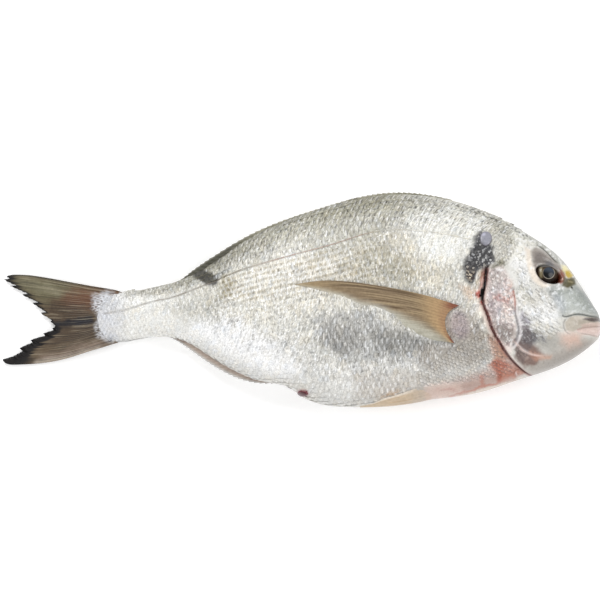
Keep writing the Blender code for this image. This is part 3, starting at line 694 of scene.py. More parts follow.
def eye_surround(colours, x, y):
    """The smooth grey lid over the eye, the yellow mark before it, the pale rim, and painted shadow in
    the socket round the eyeball, brown-red at its front corner.
    """
    colours = put_marks(colours, x, y, EYE_MARKS)
    fold, at = line_distance(x, y, BROW_LINE)
    colours = tint(colours, "#3d3d2e", 0.9 * ridge(fold, 0.45) * smooth(0, 0.25, at) * smooth(1, 0.8, at))
    # Painted shadow: near-black in the socket between lid and eyeball; brown-red tissue at its front corner.
    socket_shadow = smooth(1.02, 0.94, orbit_reach(x, y))
    colours = tint(colours, "#20140e", socket_shadow)
    return tint(colours, "#6b3320", 0.8 * socket_shadow * smooth(277, 280, x))


def mouth_lines(colours, x, y):
    """The folds round the lips, and the nostrils."""
    groove, at = line_distance(x, y, LIP_GROOVE)
    gape, gape_at = line_distance(x, y, GAPE)
    colours = tint(colours, "#bf9a8e", 0.6 * ridge(gape, 0.35) * smooth(1, 0.85, gape_at))
    colours = tint(colours, "#454a48", 0.85 * ridge(groove, 0.36) * smooth(0, 0.06, at))
    fold, at = line_distance(x, y, MAXILLA)
    colours = tint(colours, "#8f8a84", 0.6 * ridge(fold, 0.4) * smooth(0, 0.15, at) * smooth(1, 0.7, at))
    fold, at = line_distance(x, y, LOWER_LIP)
    colours = tint(colours, "#b79c92", 0.7 * ridge(fold, 0.4) * smooth(0, 0.2, at))
    for centre in NOSTRILS:
        colours = tint(colours, "#4a4a3c", 0.8 * spot(x, y, centre, (1.3, 0.8), -50, 0.8))
    return colours


def paint(x, y):
    """The skin's colours anywhere in side view."""
    x, y = np.broadcast_arrays(np.asarray(x, float), y)
    colours = np.array(trunk_paint(x, y))
    ahead = x > HEAD_FROM - 1
    head_x, head_y = x[ahead], y[ahead]
    front = smooth(-0.6, 0.2, -behind_slit(head_x, head_y) - 8 * smooth(27, 34, head_y))
    head = mix(colours[ahead], head_paint(head_x, head_y), front[:, None])
    colours[ahead] = blood_and_folds(head, head_x, head_y)
    return colours


# Meshes

body_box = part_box("body")
ROW_FROM_FISH = np.array([
    body_box[1].x * 1000 - SNOUT_END,
    body_box[1].y * 1000 - back(np.linspace(180, 220, 400)).max(),
    0.0,
])
BOX_LOW, BOX_HIGH = (np.array(corner) for corner in cad_bounds)


def to_row(points):
    """Row coordinates in metres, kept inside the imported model's box."""
    return np.clip((points + ROW_FROM_FISH) * 0.001, BOX_LOW, BOX_HIGH)


def grid_faces(rows, columns, closed=False, flip=False):
    """Quads between neighbours of a grid whose rows follow each other. closed joins
    each row's last point to its first."""
    i, j = np.meshgrid(np.arange(rows - 1), np.arange(columns - (not closed)), indexing="ij")
    ahead = (j + 1) % columns
    corners = [i * columns + j, (i + 1) * columns + j, (i + 1) * columns + ahead, i * columns + ahead]
    faces = np.stack(corners, -1).reshape(-1, 4)
    return faces[:, ::-1] if flip else faces


def make_piece(name, points, faces, colours, finish, replaced=(), merge=True):
    """A smooth mesh with its colours on its vertices, riding on the fish."""
    mesh = bpy.data.meshes.new(name)
    mesh.from_pydata(to_row(points).tolist(), [], faces.tolist())
    layer = mesh.attributes.new("paint", "FLOAT_COLOR", "POINT")
    rgba = np.concatenate([np.clip(colours, 0, 1), np.ones((len(colours), 1))], 1)
    layer.data.foreach_set("color", rgba.astype(np.float32).ravel())
    mesh.materials.append(finish)
    if merge:
        join_touching(mesh)
    mesh.shade_smooth()
    piece = bpy.data.objects.new(name, mesh)
    bpy.context.scene.collection.objects.link(piece)
    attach(piece, ROOT)
    if replaced:
        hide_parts(*replaced)
    return piece


def join_touching(mesh):
    """Welds points that coincide, such as a ring drawn together to a point."""
    import bmesh

    bm = bmesh.new()
    bm.from_mesh(mesh)
    bmesh.ops.remove_doubles(bm, verts=bm.verts, dist=MICRO)
    bm.to_mesh(mesh)
    bm.free()


# Materials

PAINT_LEVEL = 0.81


def new_material(name, roughness, specular=0.5, coat=0.0, coat_roughness=0.1):
    made = bpy.data.materials.new(name)
    made.use_nodes = True
    shader = made.node_tree.nodes["Principled BSDF"]
    shader.inputs["Roughness"].default_value = roughness
    shader.inputs["Specular IOR Level"].default_value = specular
    shader.inputs["Coat Weight"].default_value = coat
    shader.inputs["Coat Roughness"].default_value = coat_roughness
    return made, made.node_tree.nodes, made.node_tree.links, shader


def painted(name, grain, grain_size, bump, bump_size, rough=(0.3, 0.5), **shader_values):
    """A wet skin: the vertex paint with finer mottling, varying gloss and fine relief."""
    made, nodes, links, shader = new_material(name, sum(rough) / 2, **shader_values)
    layer = nodes.new("ShaderNodeAttribute")
    layer.attribute_name = "paint"
    place = nodes.new("ShaderNodeTexCoord")
    speck = nodes.new("ShaderNodeTexNoise")
    speck.inputs["Scale"].default_value = 1000 / grain_size
    speck.inputs["Detail"].default_value = 3
    links.new(place.outputs["Object"], speck.inputs["Vector"])
    level = nodes.new("ShaderNodeMapRange")
    level.inputs["From Min"].default_value = 0.25
    level.inputs["From Max"].default_value = 0.75
    level.inputs["To Min"].default_value = PAINT_LEVEL * (1 - grain)
    level.inputs["To Max"].default_value = PAINT_LEVEL * (1 + grain)
    links.new(speck.outputs["Fac"], level.inputs["Value"])
    scaled = nodes.new("ShaderNodeVectorMath")
    scaled.operation = "SCALE"
    links.new(layer.outputs["Color"], scaled.inputs[0])
    links.new(level.outputs["Result"], scaled.inputs["Scale"])
    links.new(scaled.outputs["Vector"], shader.inputs["Base Color"])
    gloss = nodes.new("ShaderNodeMapRange")
    gloss.inputs["From Min"].default_value = 0.3
    gloss.inputs["From Max"].default_value = 0.7
    gloss.inputs["To Min"].default_value, gloss.inputs["To Max"].default_value = rough
    links.new(speck.outputs["Fac"], gloss.inputs["Value"])
    links.new(gloss.outputs["Result"], shader.inputs["Roughness"])
    pits = nodes.new("ShaderNodeTexNoise")
    pits.inputs["Scale"].default_value = 1000 / bump_size
    pits.inputs["Detail"].default_value = 4
    links.new(place.outputs["Object"], pits.inputs["Vector"])
    relief_node = nodes.new("ShaderNodeBump")
    relief_node.inputs["Strength"].default_value = 1.0
    relief_node.inputs["Distance"].default_value = bump * 0.001
    links.new(pits.outputs["Fac"], relief_node.inputs["Height"])
    links.new(relief_node.outputs["Normal"], shader.inputs["Normal"])
    return made


skin_finish = painted("wet_skin", 0.10, 0.9, 0.10, 0.7, (0.25, 0.45), coat=0.25, coat_roughness=0.1)
scale_finish = painted("silver_scales", 0.22, 0.6, 0.06, 0.5, (0.3, 0.5), coat=0.2, coat_roughness=0.25)
fin_finish = painted("wet_fin", 0.14, 1.2, 0.06, 0.6, (0.35, 0.55), specular=0.25)
eye_finish = painted("eyeball", 0.08, 0.5, 0.005, 0.5, (0.2, 0.3), specular=0.2, coat=0.15, coat_roughness=0.1)


# The skin


def ring_shares(count):
    """Section heights and sides once round the body, closer together at the two ridges."""
    turn = np.arange(count) / count * 2
    v = (1 - np.cos(math.pi * turn)) / 2
    return v, turn


def skin_piece(name, stations, around, replaced):
    v, turn = ring_shares(around)
    x_grid, v_grid = np.meshgrid(stations, v, indexing="ij")
    right = skin(x_grid, v_grid, RIGHT)
    left = skin(x_grid, v_grid, LEFT)
    points = np.where((turn <= 1)[None, :, None], right, left).reshape(-1, 3)
    colours = paint(x_grid, side_height(x_grid, v_grid)).reshape(-1, 3)
    faces = grid_faces(len(stations), around, closed=True)
    return make_piece(name, points, faces, colours, skin_finish, replaced)


def eased(start, end, count, crowd_start=0.0, crowd_end=0.0):
    """Stations from start to end, closer together towards a crowded end."""
    share = np.linspace(0, 1, count)
    share = mix(share, share**2, crowd_start)
    share = mix(share, 1 - (1 - share) ** 2, crowd_end)
    return start + (end - start) * share


def make_skin():
    skin_piece("skin_trunk", eased(TAIL_END, HEAD_FROM, 170, crowd_start=0.5), 150, ["body"])
    skin_piece("skin_head", eased(HEAD_FROM, SNOUT_END, 196, crowd_end=0.5), 470, [])


# Scales

SCALE_PITCH = [(48, 2.05), (90, 2.3), (125, 2.65), (165, 2.8), (210, 2.65), (265, 2.4)]
BREAST_OUTLINE = [(207, -27), (222, -15), (233, -9), (243, -4), (246.6, -8.4), (251.6, -16.6), (260, -26.0),
                  (250, -29.4), (236, -31), (220, -33), (208, -34)]
BARE_BREAST = [(204, -35), (220, -33), (236, -31), (250, -28.4), (264, -26), (264, -34), (236, -42),
               (204, -46)]
PLATE_ALONG = [0.0, 0.34, 0.42, 0.50, 0.60, 0.72, 0.86, 1.0, 1.0]
PLATE_COLUMNS = 6
SCALE_ROWS = [(48, 1.9), (80, 2.3), (120, 2.75), (160, 3.05), (262, 2.95)]
scale_spacing, scale_pitch = spline(SCALE_ROWS), spline(SCALE_PITCH)


def scale_stations(shift):
    """Places along the body, a scale's pitch apart, moved forward by a share of it."""
    fine = np.arange(TAIL_END + 0.4, 262, 0.25)
    count = np.cumsum(0.25 / scale_pitch(fine))
    return np.interp(np.arange(0, count[-1]) + shift, count, fine)


class ArcTable:
    """Lengths measured round the skin from the lateral line, on stations along the body."""

    def __init__(self, side):
        self.x = np.arange(TAIL_END, 270, 1.0)
        self.v = (1 - np.cos(np.linspace(0, math.pi, 241))) / 2
        points = bare_skin(self.x[:, None] + 0 * self.v, 0 * self.x[:, None] + self.v, side)
        steps = np.linalg.norm(np.diff(points, axis=1), axis=-1)
        lengths = np.concatenate([np.zeros((len(self.x), 1)), np.cumsum(steps, 1)], 1)
        middle_v = height_share(self.x, lateral_line(np.minimum(self.x, 250)))
        zero = np.array([np.interp(m, self.v, row) for m, row in zip(middle_v, lengths)])
        self.lengths = lengths - zero[:, None]

    def row(self, number):
        """Section heights along one row of scales, nan where the row leaves the skin."""
        offsets = number * scale_spacing(self.x)
        return np.array([
            np.interp(a, lengths, self.v, left=np.nan, right=np.nan)
            for a, lengths in zip(offsets, self.lengths)
        ])


def scaled_region(x, y):
    """True where the trunk carries large scales."""
    bare_band = mix(2.4, 3.4, spot(x, y, (246, -6), (18, 20), -40, 0.4))
    clear_of_slit = behind_slit(x, y) > bare_band
    below_nape = (y < SLIT_TOP - 1) | (x < 253 + (y - SLIT_TOP) * 0.75)
    clear_of_slit = np.where(y > SLIT_TOP - 1, True, clear_of_slit)
    over_tail = x > np.where(y > 3.5, 48.0 + 0.06 * (y - 7.5) ** 2, 49.4 + 0.04 * (y + 1) ** 2)
    over_tail = over_tail | (x > 62)
    off_pad = spot(x, y, PECTORAL_PAD, PAD_RADII, PAD_TURN, 0.02) < 0.5
    off_vent = np.hypot((x - VENT[0]) / 1.6, y - VENT[1]) > 2.2
    off_disc = np.hypot((x - DISC[0]) / DISC_RADII[0], (y - DISC[1]) / DISC_RADII[1]) > 1.15
    off_marks = off_pad & off_vent & off_disc & (patch(x, y, BLOTCH, 0.8, 1.5) < 0.4)
    off_marks = off_marks & (patch(x, y, BREAST_OUTLINE, 0.4) < 0.5) & (patch(x, y, BARE_BREAST, 0.4) < 0.5)
    return clear_of_slit & below_nape & over_tail & off_marks & (y < back(x) - 0.4)


def scale_places(side):
    """(x, v) of every scale, in rows that follow the lateral line."""
    table = ArcTable(side)
    found = []
    for number in range(-36, 26):
        heights = table.row(number)
        x = scale_stations(0.5 * (number % 2) + 0.5)
        v = np.interp(x, table.x, heights)
        keep = np.isfinite(v)
        x, v = x[keep], v[keep]
        keep = scaled_region(x, side_height(x, v)) & (v > 0.0004) & (v < 0.9996)
        found.append(np.stack([x[keep], v[keep]], -1))
    return np.concatenate(found)


def make_scales(name, side, places, size, lift, dress, seed, heading=0.0, lean=None, presence=None,
                base_height=0.06):
    """Overlapping plates, each a curved patch that rises towards its rounded rear edge.
    size(x) gives length and half-width, heading turns a plate's rear edge upwards, lean(x, y)
    slants its sides, dress(base, along, across, x, y, rng) colours its points and presence(x, y)
    fades plates into the skin."""
    rng = np.random.default_rng(seed)
    x, v = places.T
    y = side_height(x, v)
    to_tail, upward, out = plate_axes(x, v, side, heading + rng.normal(0, 0.05, len(x)))
    length, half_width = (part * rng.normal(1.0, 0.04, len(x)) for part in size(x))
    along, across = np.array(PLATE_ALONG)[None, :, None], np.linspace(-1, 1, PLATE_COLUMNS)[None, None, :]
    narrowing = np.sqrt(np.clip(1 - (np.maximum(along - 0.35, 0) / 0.70) ** 2, 0, 1))
    each = lambda values: values[:, None, None]
    b = across * narrowing * each(half_width)
    a = (along * 1.45 - 0.62) * each(length)
    a = a * (1 - 0.22 * np.abs(across) ** 2.5 * (along > 0.6))
    if lean is not None:
        a = a - each(lean(x, y)) * b
    h = base_height + along * each(lift * rng.uniform(0.75, 1.3, len(x))) - 0.008 * b * b
    h = h + each(rng.normal(0, 0.015, len(x))) * b
    h[:, -1] -= 0.3
    shown = np.ones(len(x)) if presence is None else presence(x, y)
    h = h * each(shown) - 0.35 * each(1 - shown)
    axes = [part[:, None, None, :] for part in (skin(x, v, side), to_tail, upward, out)]
    points = axes[0] + axes[1] * a[..., None] + axes[2] * b[..., None] + axes[3] * h[..., None]
    if side == LEFT:
        floor = each(pressed_floor(x, y)) + 0.02 + 0.1 * along
        points[..., 2] = np.maximum(points[..., 2], floor)
    base = paint(points[..., 0], points[..., 1])
    colours = mix(base, dress(base, along, across, x, y, rng), shown[:, None, None, None])
    rows, columns = points.shape[1:3]
    faces = grid_faces(rows, columns, flip=side == RIGHT)
    faces = (faces[None] + (np.arange(len(x)) * rows * columns)[:, None, None]).reshape(-1, 4)
    return make_piece(name, points.reshape(-1, 3), faces, colours.reshape(-1, 3), scale_finish,
                      merge=False)


def plate_axes(x, v, side, turn):
    """Directions along the body to the tail, up and out of the skin, turned in the skin."""
    step = 0.5
    ahead = skin(x + step, np.clip(v_along(x + step, x, v), 0.0003, 0.9997), side)
    behind = skin(x - step, np.clip(v_along(x - step, x, v), 0.0003, 0.9997), side)
    out = skin_normal(x, v, side)
    to_tail = unit(behind - ahead)
    upward = unit(np.cross(out, -to_tail)) * side
    cos, sin = np.cos(turn)[:, None], np.sin(turn)[:, None]
    return to_tail * cos + upward * sin, upward * cos - to_tail * sin, out


def v_along(x_new, x, v):
    """The section height that keeps a place's share above or below the lateral line."""
    line_here = height_share(x, lateral_line(np.minimum(x, 250)))
    line_there = height_share(x_new, lateral_line(np.minimum(x_new, 250)))
    above = v > line_here
    up = line_there + (v - line_here) * (1 - line_there) / (1 - line_here)
    down = line_there + (v - line_here) * line_there / line_here
    return np.where(above, up, down)


def speckled(base, amount, rng, own=0.05, streak=0.05, band=0.11, grain=0.17):
    """Uneven silver: each plate, each streak and band across it and each point has its
    own light, and each plate is a little warmer or cooler than the next."""
    count, rows, columns = base.shape[:3]
    light = own * rng.normal(0, 1, (count, 1, 1)) + streak * rng.normal(0, 1, (count, 1, columns))
    light = light + band * rng.normal(0, 1, (count, rows, 1)) + grain * rng.normal(0, 1, (count, rows, columns))
    light = np.clip(1 + amount * light, 0.4, 1.55)
    warm = 1 + rng.normal(0, 0.012, (count, 1, 1, 1)) * np.array([1.0, 0.1, -1.4])
    return base * light[..., None] * warm


def trunk_dress(base, along, across, x, y, rng):
    """A short dark line where each plate comes out from under the next, olive-brown with painted shade
    from the plate over it, and a fainter one behind it, paler between them; a painted highlight across
    each plate and painted white glints on single points; olive on the back, laid on each plate's lower
    edge as painted shade too, and in stripes below the lateral line."""
    x, y = x[:, None, None], y[:, None, None]
    over_line = y - lateral_line(x)
    calm = smooth(4, 22, y - belly(x))
    on_back = smooth(0, 5, over_line) * smooth(56, 76, x)
    nape = spot(x, y, (228, 36), (34, 26), -10, 0.9)
    bright = np.clip(base.mean(-1) / 0.45, 0, 1)
    each = (len(x), 1, 1)
    # Dark dashes: olive-brown, with painted shade where the plate in front overlaps this one.
    olive_and_shade_dashes = rng.uniform(0.15, 1.0, each) * ridge(along - 0.44 - rng.normal(0, 0.02, each), 0.085)
    olive_and_shade_dashes = olive_and_shade_dashes + rng.uniform(0, 0.6, each) * ridge(along - rng.uniform(0.60, 0.92, each), 0.07)
    olive_and_shade_dashes = olive_and_shade_dashes * np.clip(1 - 2.0 * (across - rng.normal(0, 0.2, each)) ** 2, 0, 1)
    dull = 1 - bright
    depth = mix(0.66, 1.15, on_back) + 0.5 * dull
    depth = depth * mix(0.55, 1.0, smooth(85, 115, x) + on_back * 0.9) * mix(0.45, 1, calm)
    colours = tint(base, "#413e33", np.clip(depth * mix(1.0, 0.6, nape) * olive_and_shade_dashes, 0, 0.9))
    # Olive of the back on each plate's lower edge, darker there as painted shade on the side away from the light.
    colours = tint(colours, "#77714f", 0.3 * on_back * (1 - 0.8 * nape) * smooth(-0.1, -0.8, across))
    striped = smooth(0, -3, over_line) * smooth(-32, -22, over_line) * smooth(104, 116, x) * smooth(222, 160, x)
    striped = striped * mix(0.3, 1.0, smooth(-0.3, 0.4, cloudy(noise_a, x, 3 * y, 24)))
    colours = tint(colours, "#857347", 0.56 * striped * ridge(across - 0.1, 0.3))
    colours = tint(colours, "#ffffff", 0.28 * striped * smooth(0.35, 0.7, np.abs(across - 0.1)))
    # Painted highlight: a white band across each plate behind its middle.
    light = ridge(along - 0.62, 0.10) * rng.uniform(0, 1, each) * np.clip(1 - across**2, 0, 1)
    colours = tint(colours, "#ffffff", (0.62 + 0.25 * dull) * light * smooth(0.03, 0.3, bright))
    # Painted glints: white on single random points of the brighter plates.
    glint = rng.uniform(0, 1, base.shape[:3]) ** 8 * mix(0.35, 1.0, calm) * mix(1.0, 0.5, nape) * bright**2
    colours = tint(colours, "#ffffff", 0.85 * glint)
    speck = rng.uniform(0, 1, base.shape[:3]) ** 8 * calm * mix(0.45, 1.0, on_back) * mix(1.0, 0.5, nape)
    colours = tint(colours, "#45412f", 0.75 * speck)
    amount = mix(0.4, 1.05, calm) * mix(0.75, 1, smooth(80, 120, x)) * mix(1, 0.7, nape)
    return speckled(colours, amount, rng)


def trunk_lean(x, y):
    """Plates of the back slant forward at their tops."""
    return 0.45 * smooth(-2, 10, y - lateral_line(x)) * smooth(80, 120, x)


def trunk_presence(x, y):
    """The plates sink away over the crown of the head and the root of the tail fin."""
    over_head = np.where(y < SLIT_TOP - 1, 1.0, smooth(1, 9, 253 + (y - SLIT_TOP) * 0.75 - x))
    return over_head * smooth(48.0, 50.0, x)


def make_trunk_scales():
    for side, word in ((RIGHT, "right"), (LEFT, "left")):
        make_scales(f"scales_{word}", side, scale_places(side),
                    lambda x: (scale_pitch(x), 0.78 * scale_spacing(x)), 0.13, trunk_dress, 11,
                    lean=trunk_lean, presence=trunk_presence)


def lattice(corners, pitch, gap, heading):
    """(x, v) of staggered places inside an outline, in rows that run along a heading."""
    corners = np.array(corners, float)
    centre, reach = corners.mean(0), np.ptp(corners, axis=0).max()
    column, row = np.meshgrid(np.arange(-60, 61), np.arange(-60, 61), indexing="ij")
    along, across = (column + 0.5 * (row % 2)).ravel() * pitch, row.ravel() * gap
    x = centre[0] - along * math.cos(heading) + across * math.sin(heading)
    y = centre[1] + along * math.sin(heading) + across * math.cos(heading)
    near = np.hypot(x - centre[0], y - centre[1]) < reach
    x, y = x[near], y[near]
    inside = patch(x, y, [tuple(corner) for corner in corners], 0.1) > 0.5
    order = np.argsort(-(x[inside] * math.cos(heading) - y[inside] * math.sin(heading)))
    x, y = x[inside][order], y[inside][order]
    return np.stack([x, height_share(x, y)], -1)


# Smaller scales of the head and the fin's base: outline, pitch, row gap, heading and lift.
PAD_OUTLINE = [(223, -8), (223.6, 4), (230, 8.4), (236, 4.6), (237, -4), (235.6, -11), (229, -12.6)]
SMALL_SCALES = {
    "breast": (BREAST_OUTLINE, 1.85, 1.7, -0.7, 0.16),
    "pad": (PAD_OUTLINE, 1.9, 1.7, 0.3, 0.08),
    "gill_cover": (GILL_COVER, 2.4, 2.3, -0.7, 0.08),
    "charcoal": (BLOTCH, 0.85, 0.85, 0.5, 0.12),
    "cheek": ([(257.6, 28), (264, 26), (268, 17), (276, 13), (280.4, 4), (281, -5), (272, -13), (264, -8),
               (259.6, 3), (258.4, 10)], 1.75, 2.3, -0.75, 0.05),
    "lower_cheek": ([(259.6, -3), (264, -4), (268.6, -8), (267.6, -11.4), (262, -12.6), (259.6, -8)],
                    1.8, 1.9, -0.5, 0.22),
    "throat": ([(257.4, -12.4), (260, -13.4), (263, -17), (262.6, -21.6), (259.6, -19.4), (256.4, -15.6)],
               1.9, 2.0, -0.6, 0.1),
    "crown": ([(245.6, 25), (252.4, 26.4), (256, 31), (260, 38.6), (256, 43), (249.4, 44.6), (247, 40),
               (247.4, 34)], 1.5, 1.6, 0.3, 0.16),
}


def small_dress(base, along, across, x, y, rng):
    """Plates a little darker inside, with painted shade where each comes out from under the plate in
    front, and pale rims carrying a painted highlight.
    """
    bright = np.clip(base.mean(-1) / 0.45, 0, 1)
    # Painted shade towards each plate's front, under the plate ahead.
    colours = tint(base, "#5d5652", 0.34 * smooth(0.6, 0.36, along) + 0 * across)
    # Painted highlight along each plate's pale rear rim.
    rim = smooth(0.72, 0.95, along) * (1 - 0.5 * across**2) * rng.uniform(0.1, 1.0, (len(x), 1, 1))
    colours = tint(colours, "#fbf6f2", 0.5 * rim * bright)
    return speckled(colours, 0.9, rng)


def cheek_dress(base, along, across, x, y, rng):
    """Fine broken grey lines between nearly flat plates."""
    line = ridge(along - 0.42, 0.10) * (1 - 0.4 * across**2) * rng.uniform(0, 1.0, (len(x), 1, 1)) ** 1.5
    colours = tint(base, "#66645f", 0.85 * line)
    return speckled(colours, 0.35, rng)


def charcoal_dress(base, along, across, x, y, rng):
    """Near-black plates with grey and, low down, cream and brown ones among them."""
    low = smooth(30, 22, y)[:, None, None]
    pick = rng.uniform(0, 1, (len(x), 1, 1))
    pale = (pick < mix(0.42, 0.6, low)) * rng.uniform(0.05, 1.0, (len(x), 1, 1)) ** 1.6 + 0 * along + 0 * across
    colours = tint(base, "#232227", 0.75 * (1 - pale))
    colours = tint(colours, "#3f2c20", 0.6 * low * (pick > 0.7) + 0 * pale)
    colours = tint(colours, "#c2c2c2", 0.85 * pale * (1 - low))
    colours = tint(colours, "#e3d3b9", 0.9 * pale * low)
    return speckled(colours, 0.8, rng)


def pad_dress(base, along, across, x, y, rng):
    """Mottled skin over the fin's base, its plates hardly seen."""
    dark = rng.uniform(0, 0.5, (len(x), 1, 1)) * ridge(along - 0.5, 0.12) * (1 - 0.6 * across**2)
    return speckled(tint(base, "#625a5c", dark), 1.1, rng)


SMALL_DRESSES = {"cheek": cheek_dress, "charcoal": charcoal_dress, "pad": pad_dress}


def make_small_scales():
    for side, word in ((RIGHT, "right"), (LEFT, "left")):
        for seed, (name, (outline, pitch, gap, heading, lift)) in enumerate(SMALL_SCALES.items()):
            dress = SMALL_DRESSES.get(name, small_dress)
            make_scales(f"{name}_scales_{word}", side, lattice(outline, pitch, gap, heading),
                        lambda x: (pitch + 0 * x, 0.7 * gap + 0 * x), lift, dress, seed, heading,
                        presence=lambda x, y: smooth(0.5, 1.0, patch(x, y, outline, 2.2)))


def line_dress(base, along, across, x, y, rng):
    """A dark thin line near the tail, red-brown over the middle, faint further forward."""
    x = x[:, None, None]
    line = ridge(across, 0.9) * rng.uniform(0.65, 1.0, (len(x), 1, 1))
    colours = tint(base, "#5c4d36", line * smooth(165, 120, x) * mix(0.4, 0.8, smooth(58, 84, x)) + 0 * along)
    colours = tint(colours, "#86543c", 0.85 * line * smooth(120, 146, x) * smooth(190, 176, x) + 0 * along)
    colours = tint(colours, "#a09783", 0.5 * line * smooth(176, 190, x) + 0 * along)
    return speckled(colours, 0.6, rng)


def make_lateral_line():
    """A raised pore on each scale of the lateral line."""
    x = scale_stations(0.25)
    x = x[(x > TAIL_END + 3) & (x < 238)]
    v = height_share(x, lateral_line(x))
    for side, word in ((RIGHT, "right"), (LEFT, "left")):
        make_scales(f"lateral_line_{word}", side, np.stack([x, v], -1),
                    lambda x: (2.1 + 0 * x, mix(0.55, 0.36, smooth(118, 150, x))), 0.06, line_dress, 5,
                    base_height=0.30)


def make_domes(name, centre, radii, height, dress):
    """A low dome on each flank, coloured by how far from its middle a point is."""
    share, turn = np.meshgrid(np.linspace(0, 1, 16), np.arange(40) / 40 * 2 * math.pi, indexing="ij")
    x = centre[0] + radii[0] * share * np.cos(turn)
    y = centre[1] + radii[1] * share * np.sin(turn)
    v = np.clip(height_share(x, y), 0.0004, 0.9996)
    lift = height * np.sqrt(np.clip(1 - share**2.6, 0, 1)) - 0.25 * smooth(0.9, 1, share)
    colours = dress(share, x, y)
    for side, word in ((RIGHT, "right"), (LEFT, "left")):
        points = bare_skin(x, v, side) + skin_normal(x, v, side) * (lift + 0.2)[..., None]
        faces = grid_faces(*x.shape, closed=True, flip=side == LEFT)
        make_piece(f"{name}_{word}", points.reshape(-1, 3), faces, colours.reshape(-1, 3), skin_finish)


def disc_dress(share, x, y):
    colours = np.broadcast_to(rgb("#9b9ba6"), (*x.shape, 3))
    colours = tint(colours, "#85838e", 0.7 * smooth(0.55, 0.95, share))
    colours = tint(colours, "#6b6670", 0.8 * smooth(0.86, 1.0, share))
    colours = tint(colours, "#6f6f72", 0.5 * smooth(0.0, 0.5, cloudy(noise_b, x, y, 1.6)))
    # Painted highlight: a pale lilac spot on the disc's upper left.
    return tint(colours, "#cfcfe2", 0.7 * spot(x, y, (DISC[0] - 1.1, DISC[1] + 1.7), (1.6, 1.2), 40, 0.9))


def vent_dress(share, x, y):
    colours = np.broadcast_to(rgb("#4c0f1a"), (*x.shape, 3))
    colours = tint(colours, "#7d2a35", 0.6 * smooth(0.65, 0.95, share))
    return tint(colours, "#8c5452", 0.6 * smooth(0.92, 1.0, share))


# Fins


def fin_sheet(name, middle_points, out, thickness, colours, replaced, finish=None):
    """A closed sheet: a grid of middle points thickened both ways along out."""
    rows, columns = middle_points.shape[:2]
    half = out * (thickness / 2)[..., None]
    points = np.concatenate([(middle_points + half).reshape(-1, 3), (middle_points - half).reshape(-1, 3)])
    count = rows * columns
    top, under = grid_faces(rows, columns), grid_faces(rows, columns, flip=True) + count
    rim = []
    edge = [(0, j) for j in range(columns - 1)] + [(i, columns - 1) for i in range(rows - 1)]
    edge += [(rows - 1, j) for j in range(columns - 1, 0, -1)] + [(i, 0) for i in range(rows - 1, 0, -1)]
    for here, there in zip(edge, edge[1:] + edge[:1]):
        a, b = here[0] * columns + here[1], there[0] * columns + there[1]
        rim.append((a, b, b + count, a + count))
    faces = np.concatenate([top, under, np.array(rim)])
    both = np.concatenate([colours.reshape(-1, 3)] * 2)
    return make_piece(name, points, faces, both, finish or fin_finish, replaced)


def ray_profile(v, rays, u, split_at, split_again=2.0):
    """How much of a ray, 0 to 1, stands at v: each ray splits in two past split_at and
    again past split_again."""
    profiles = [ridge(1 - np.abs((v * rays * twigs) % 1 - 0.5) * 2, 0.5) for twigs in (1, 2, 4)]
    forked = mix(profiles[0], profiles[1], smooth(split_at - 0.12, split_at + 0.12, u))
    return mix(forked, profiles[2], smooth(split_again - 0.12, split_again + 0.12, u))


TAIL_LOWER = [(66, -7.6), (60, -10.8), (53, -13.2), (44, -15.9), (32, -19.6), (18, -21.9), (7.6, -22.4),
              (2.4, -21.6), (0.6, -19.8)]
TAIL_UPPER = [(66, 10.5), (60, 14.2), (52, 16.0), (38, 18.4), (24, 21.0), (13, 22.5), (6.0, 22.7)]
TAIL_EDGE = [(0.6, -19.8), (5, -17.0), (10.6, -13.0), (17.4, -8.4), (26.6, -2.4), (20.6, 2.4), (16.6, 7.2),
             (11.6, 11.6), (6.8, 15.4), (2.6, 18.6), (1.0, 20.8), (6.0, 22.7)]
TAIL_RAYS, TAIL_FORK = 19, 0.46
UPPER_TEETH, LOWER_TEETH = 6.0, 4.4


def torn_back(v):
    """How far the tail's rear edge is torn back: saw teeth that point to each lobe's tip."""
    upper = v > TAIL_FORK
    from_tip = np.where(upper, (1 - v) / (1 - TAIL_FORK), v / TAIL_FORK)
    teeth = from_tip * np.where(upper, UPPER_TEETH, LOWER_TEETH) + 0.5 * noise_b(v * 7, 0 * v) * smooth(0, 0.1, from_tip)
    number = np.floor(teeth)
    size = np.where(upper, 3.6, 5.8) * mix(0.5, 1.3, 0.5 + 0.5 * noise_a(number * 1.37 + 0.5, 4.3 * upper))
    small = 0.9 * ((v * TAIL_RAYS * 2.3) % 1)
    return (size * (teeth - number) ** 1.3 + small) * smooth(1.0, 0.85, from_tip)


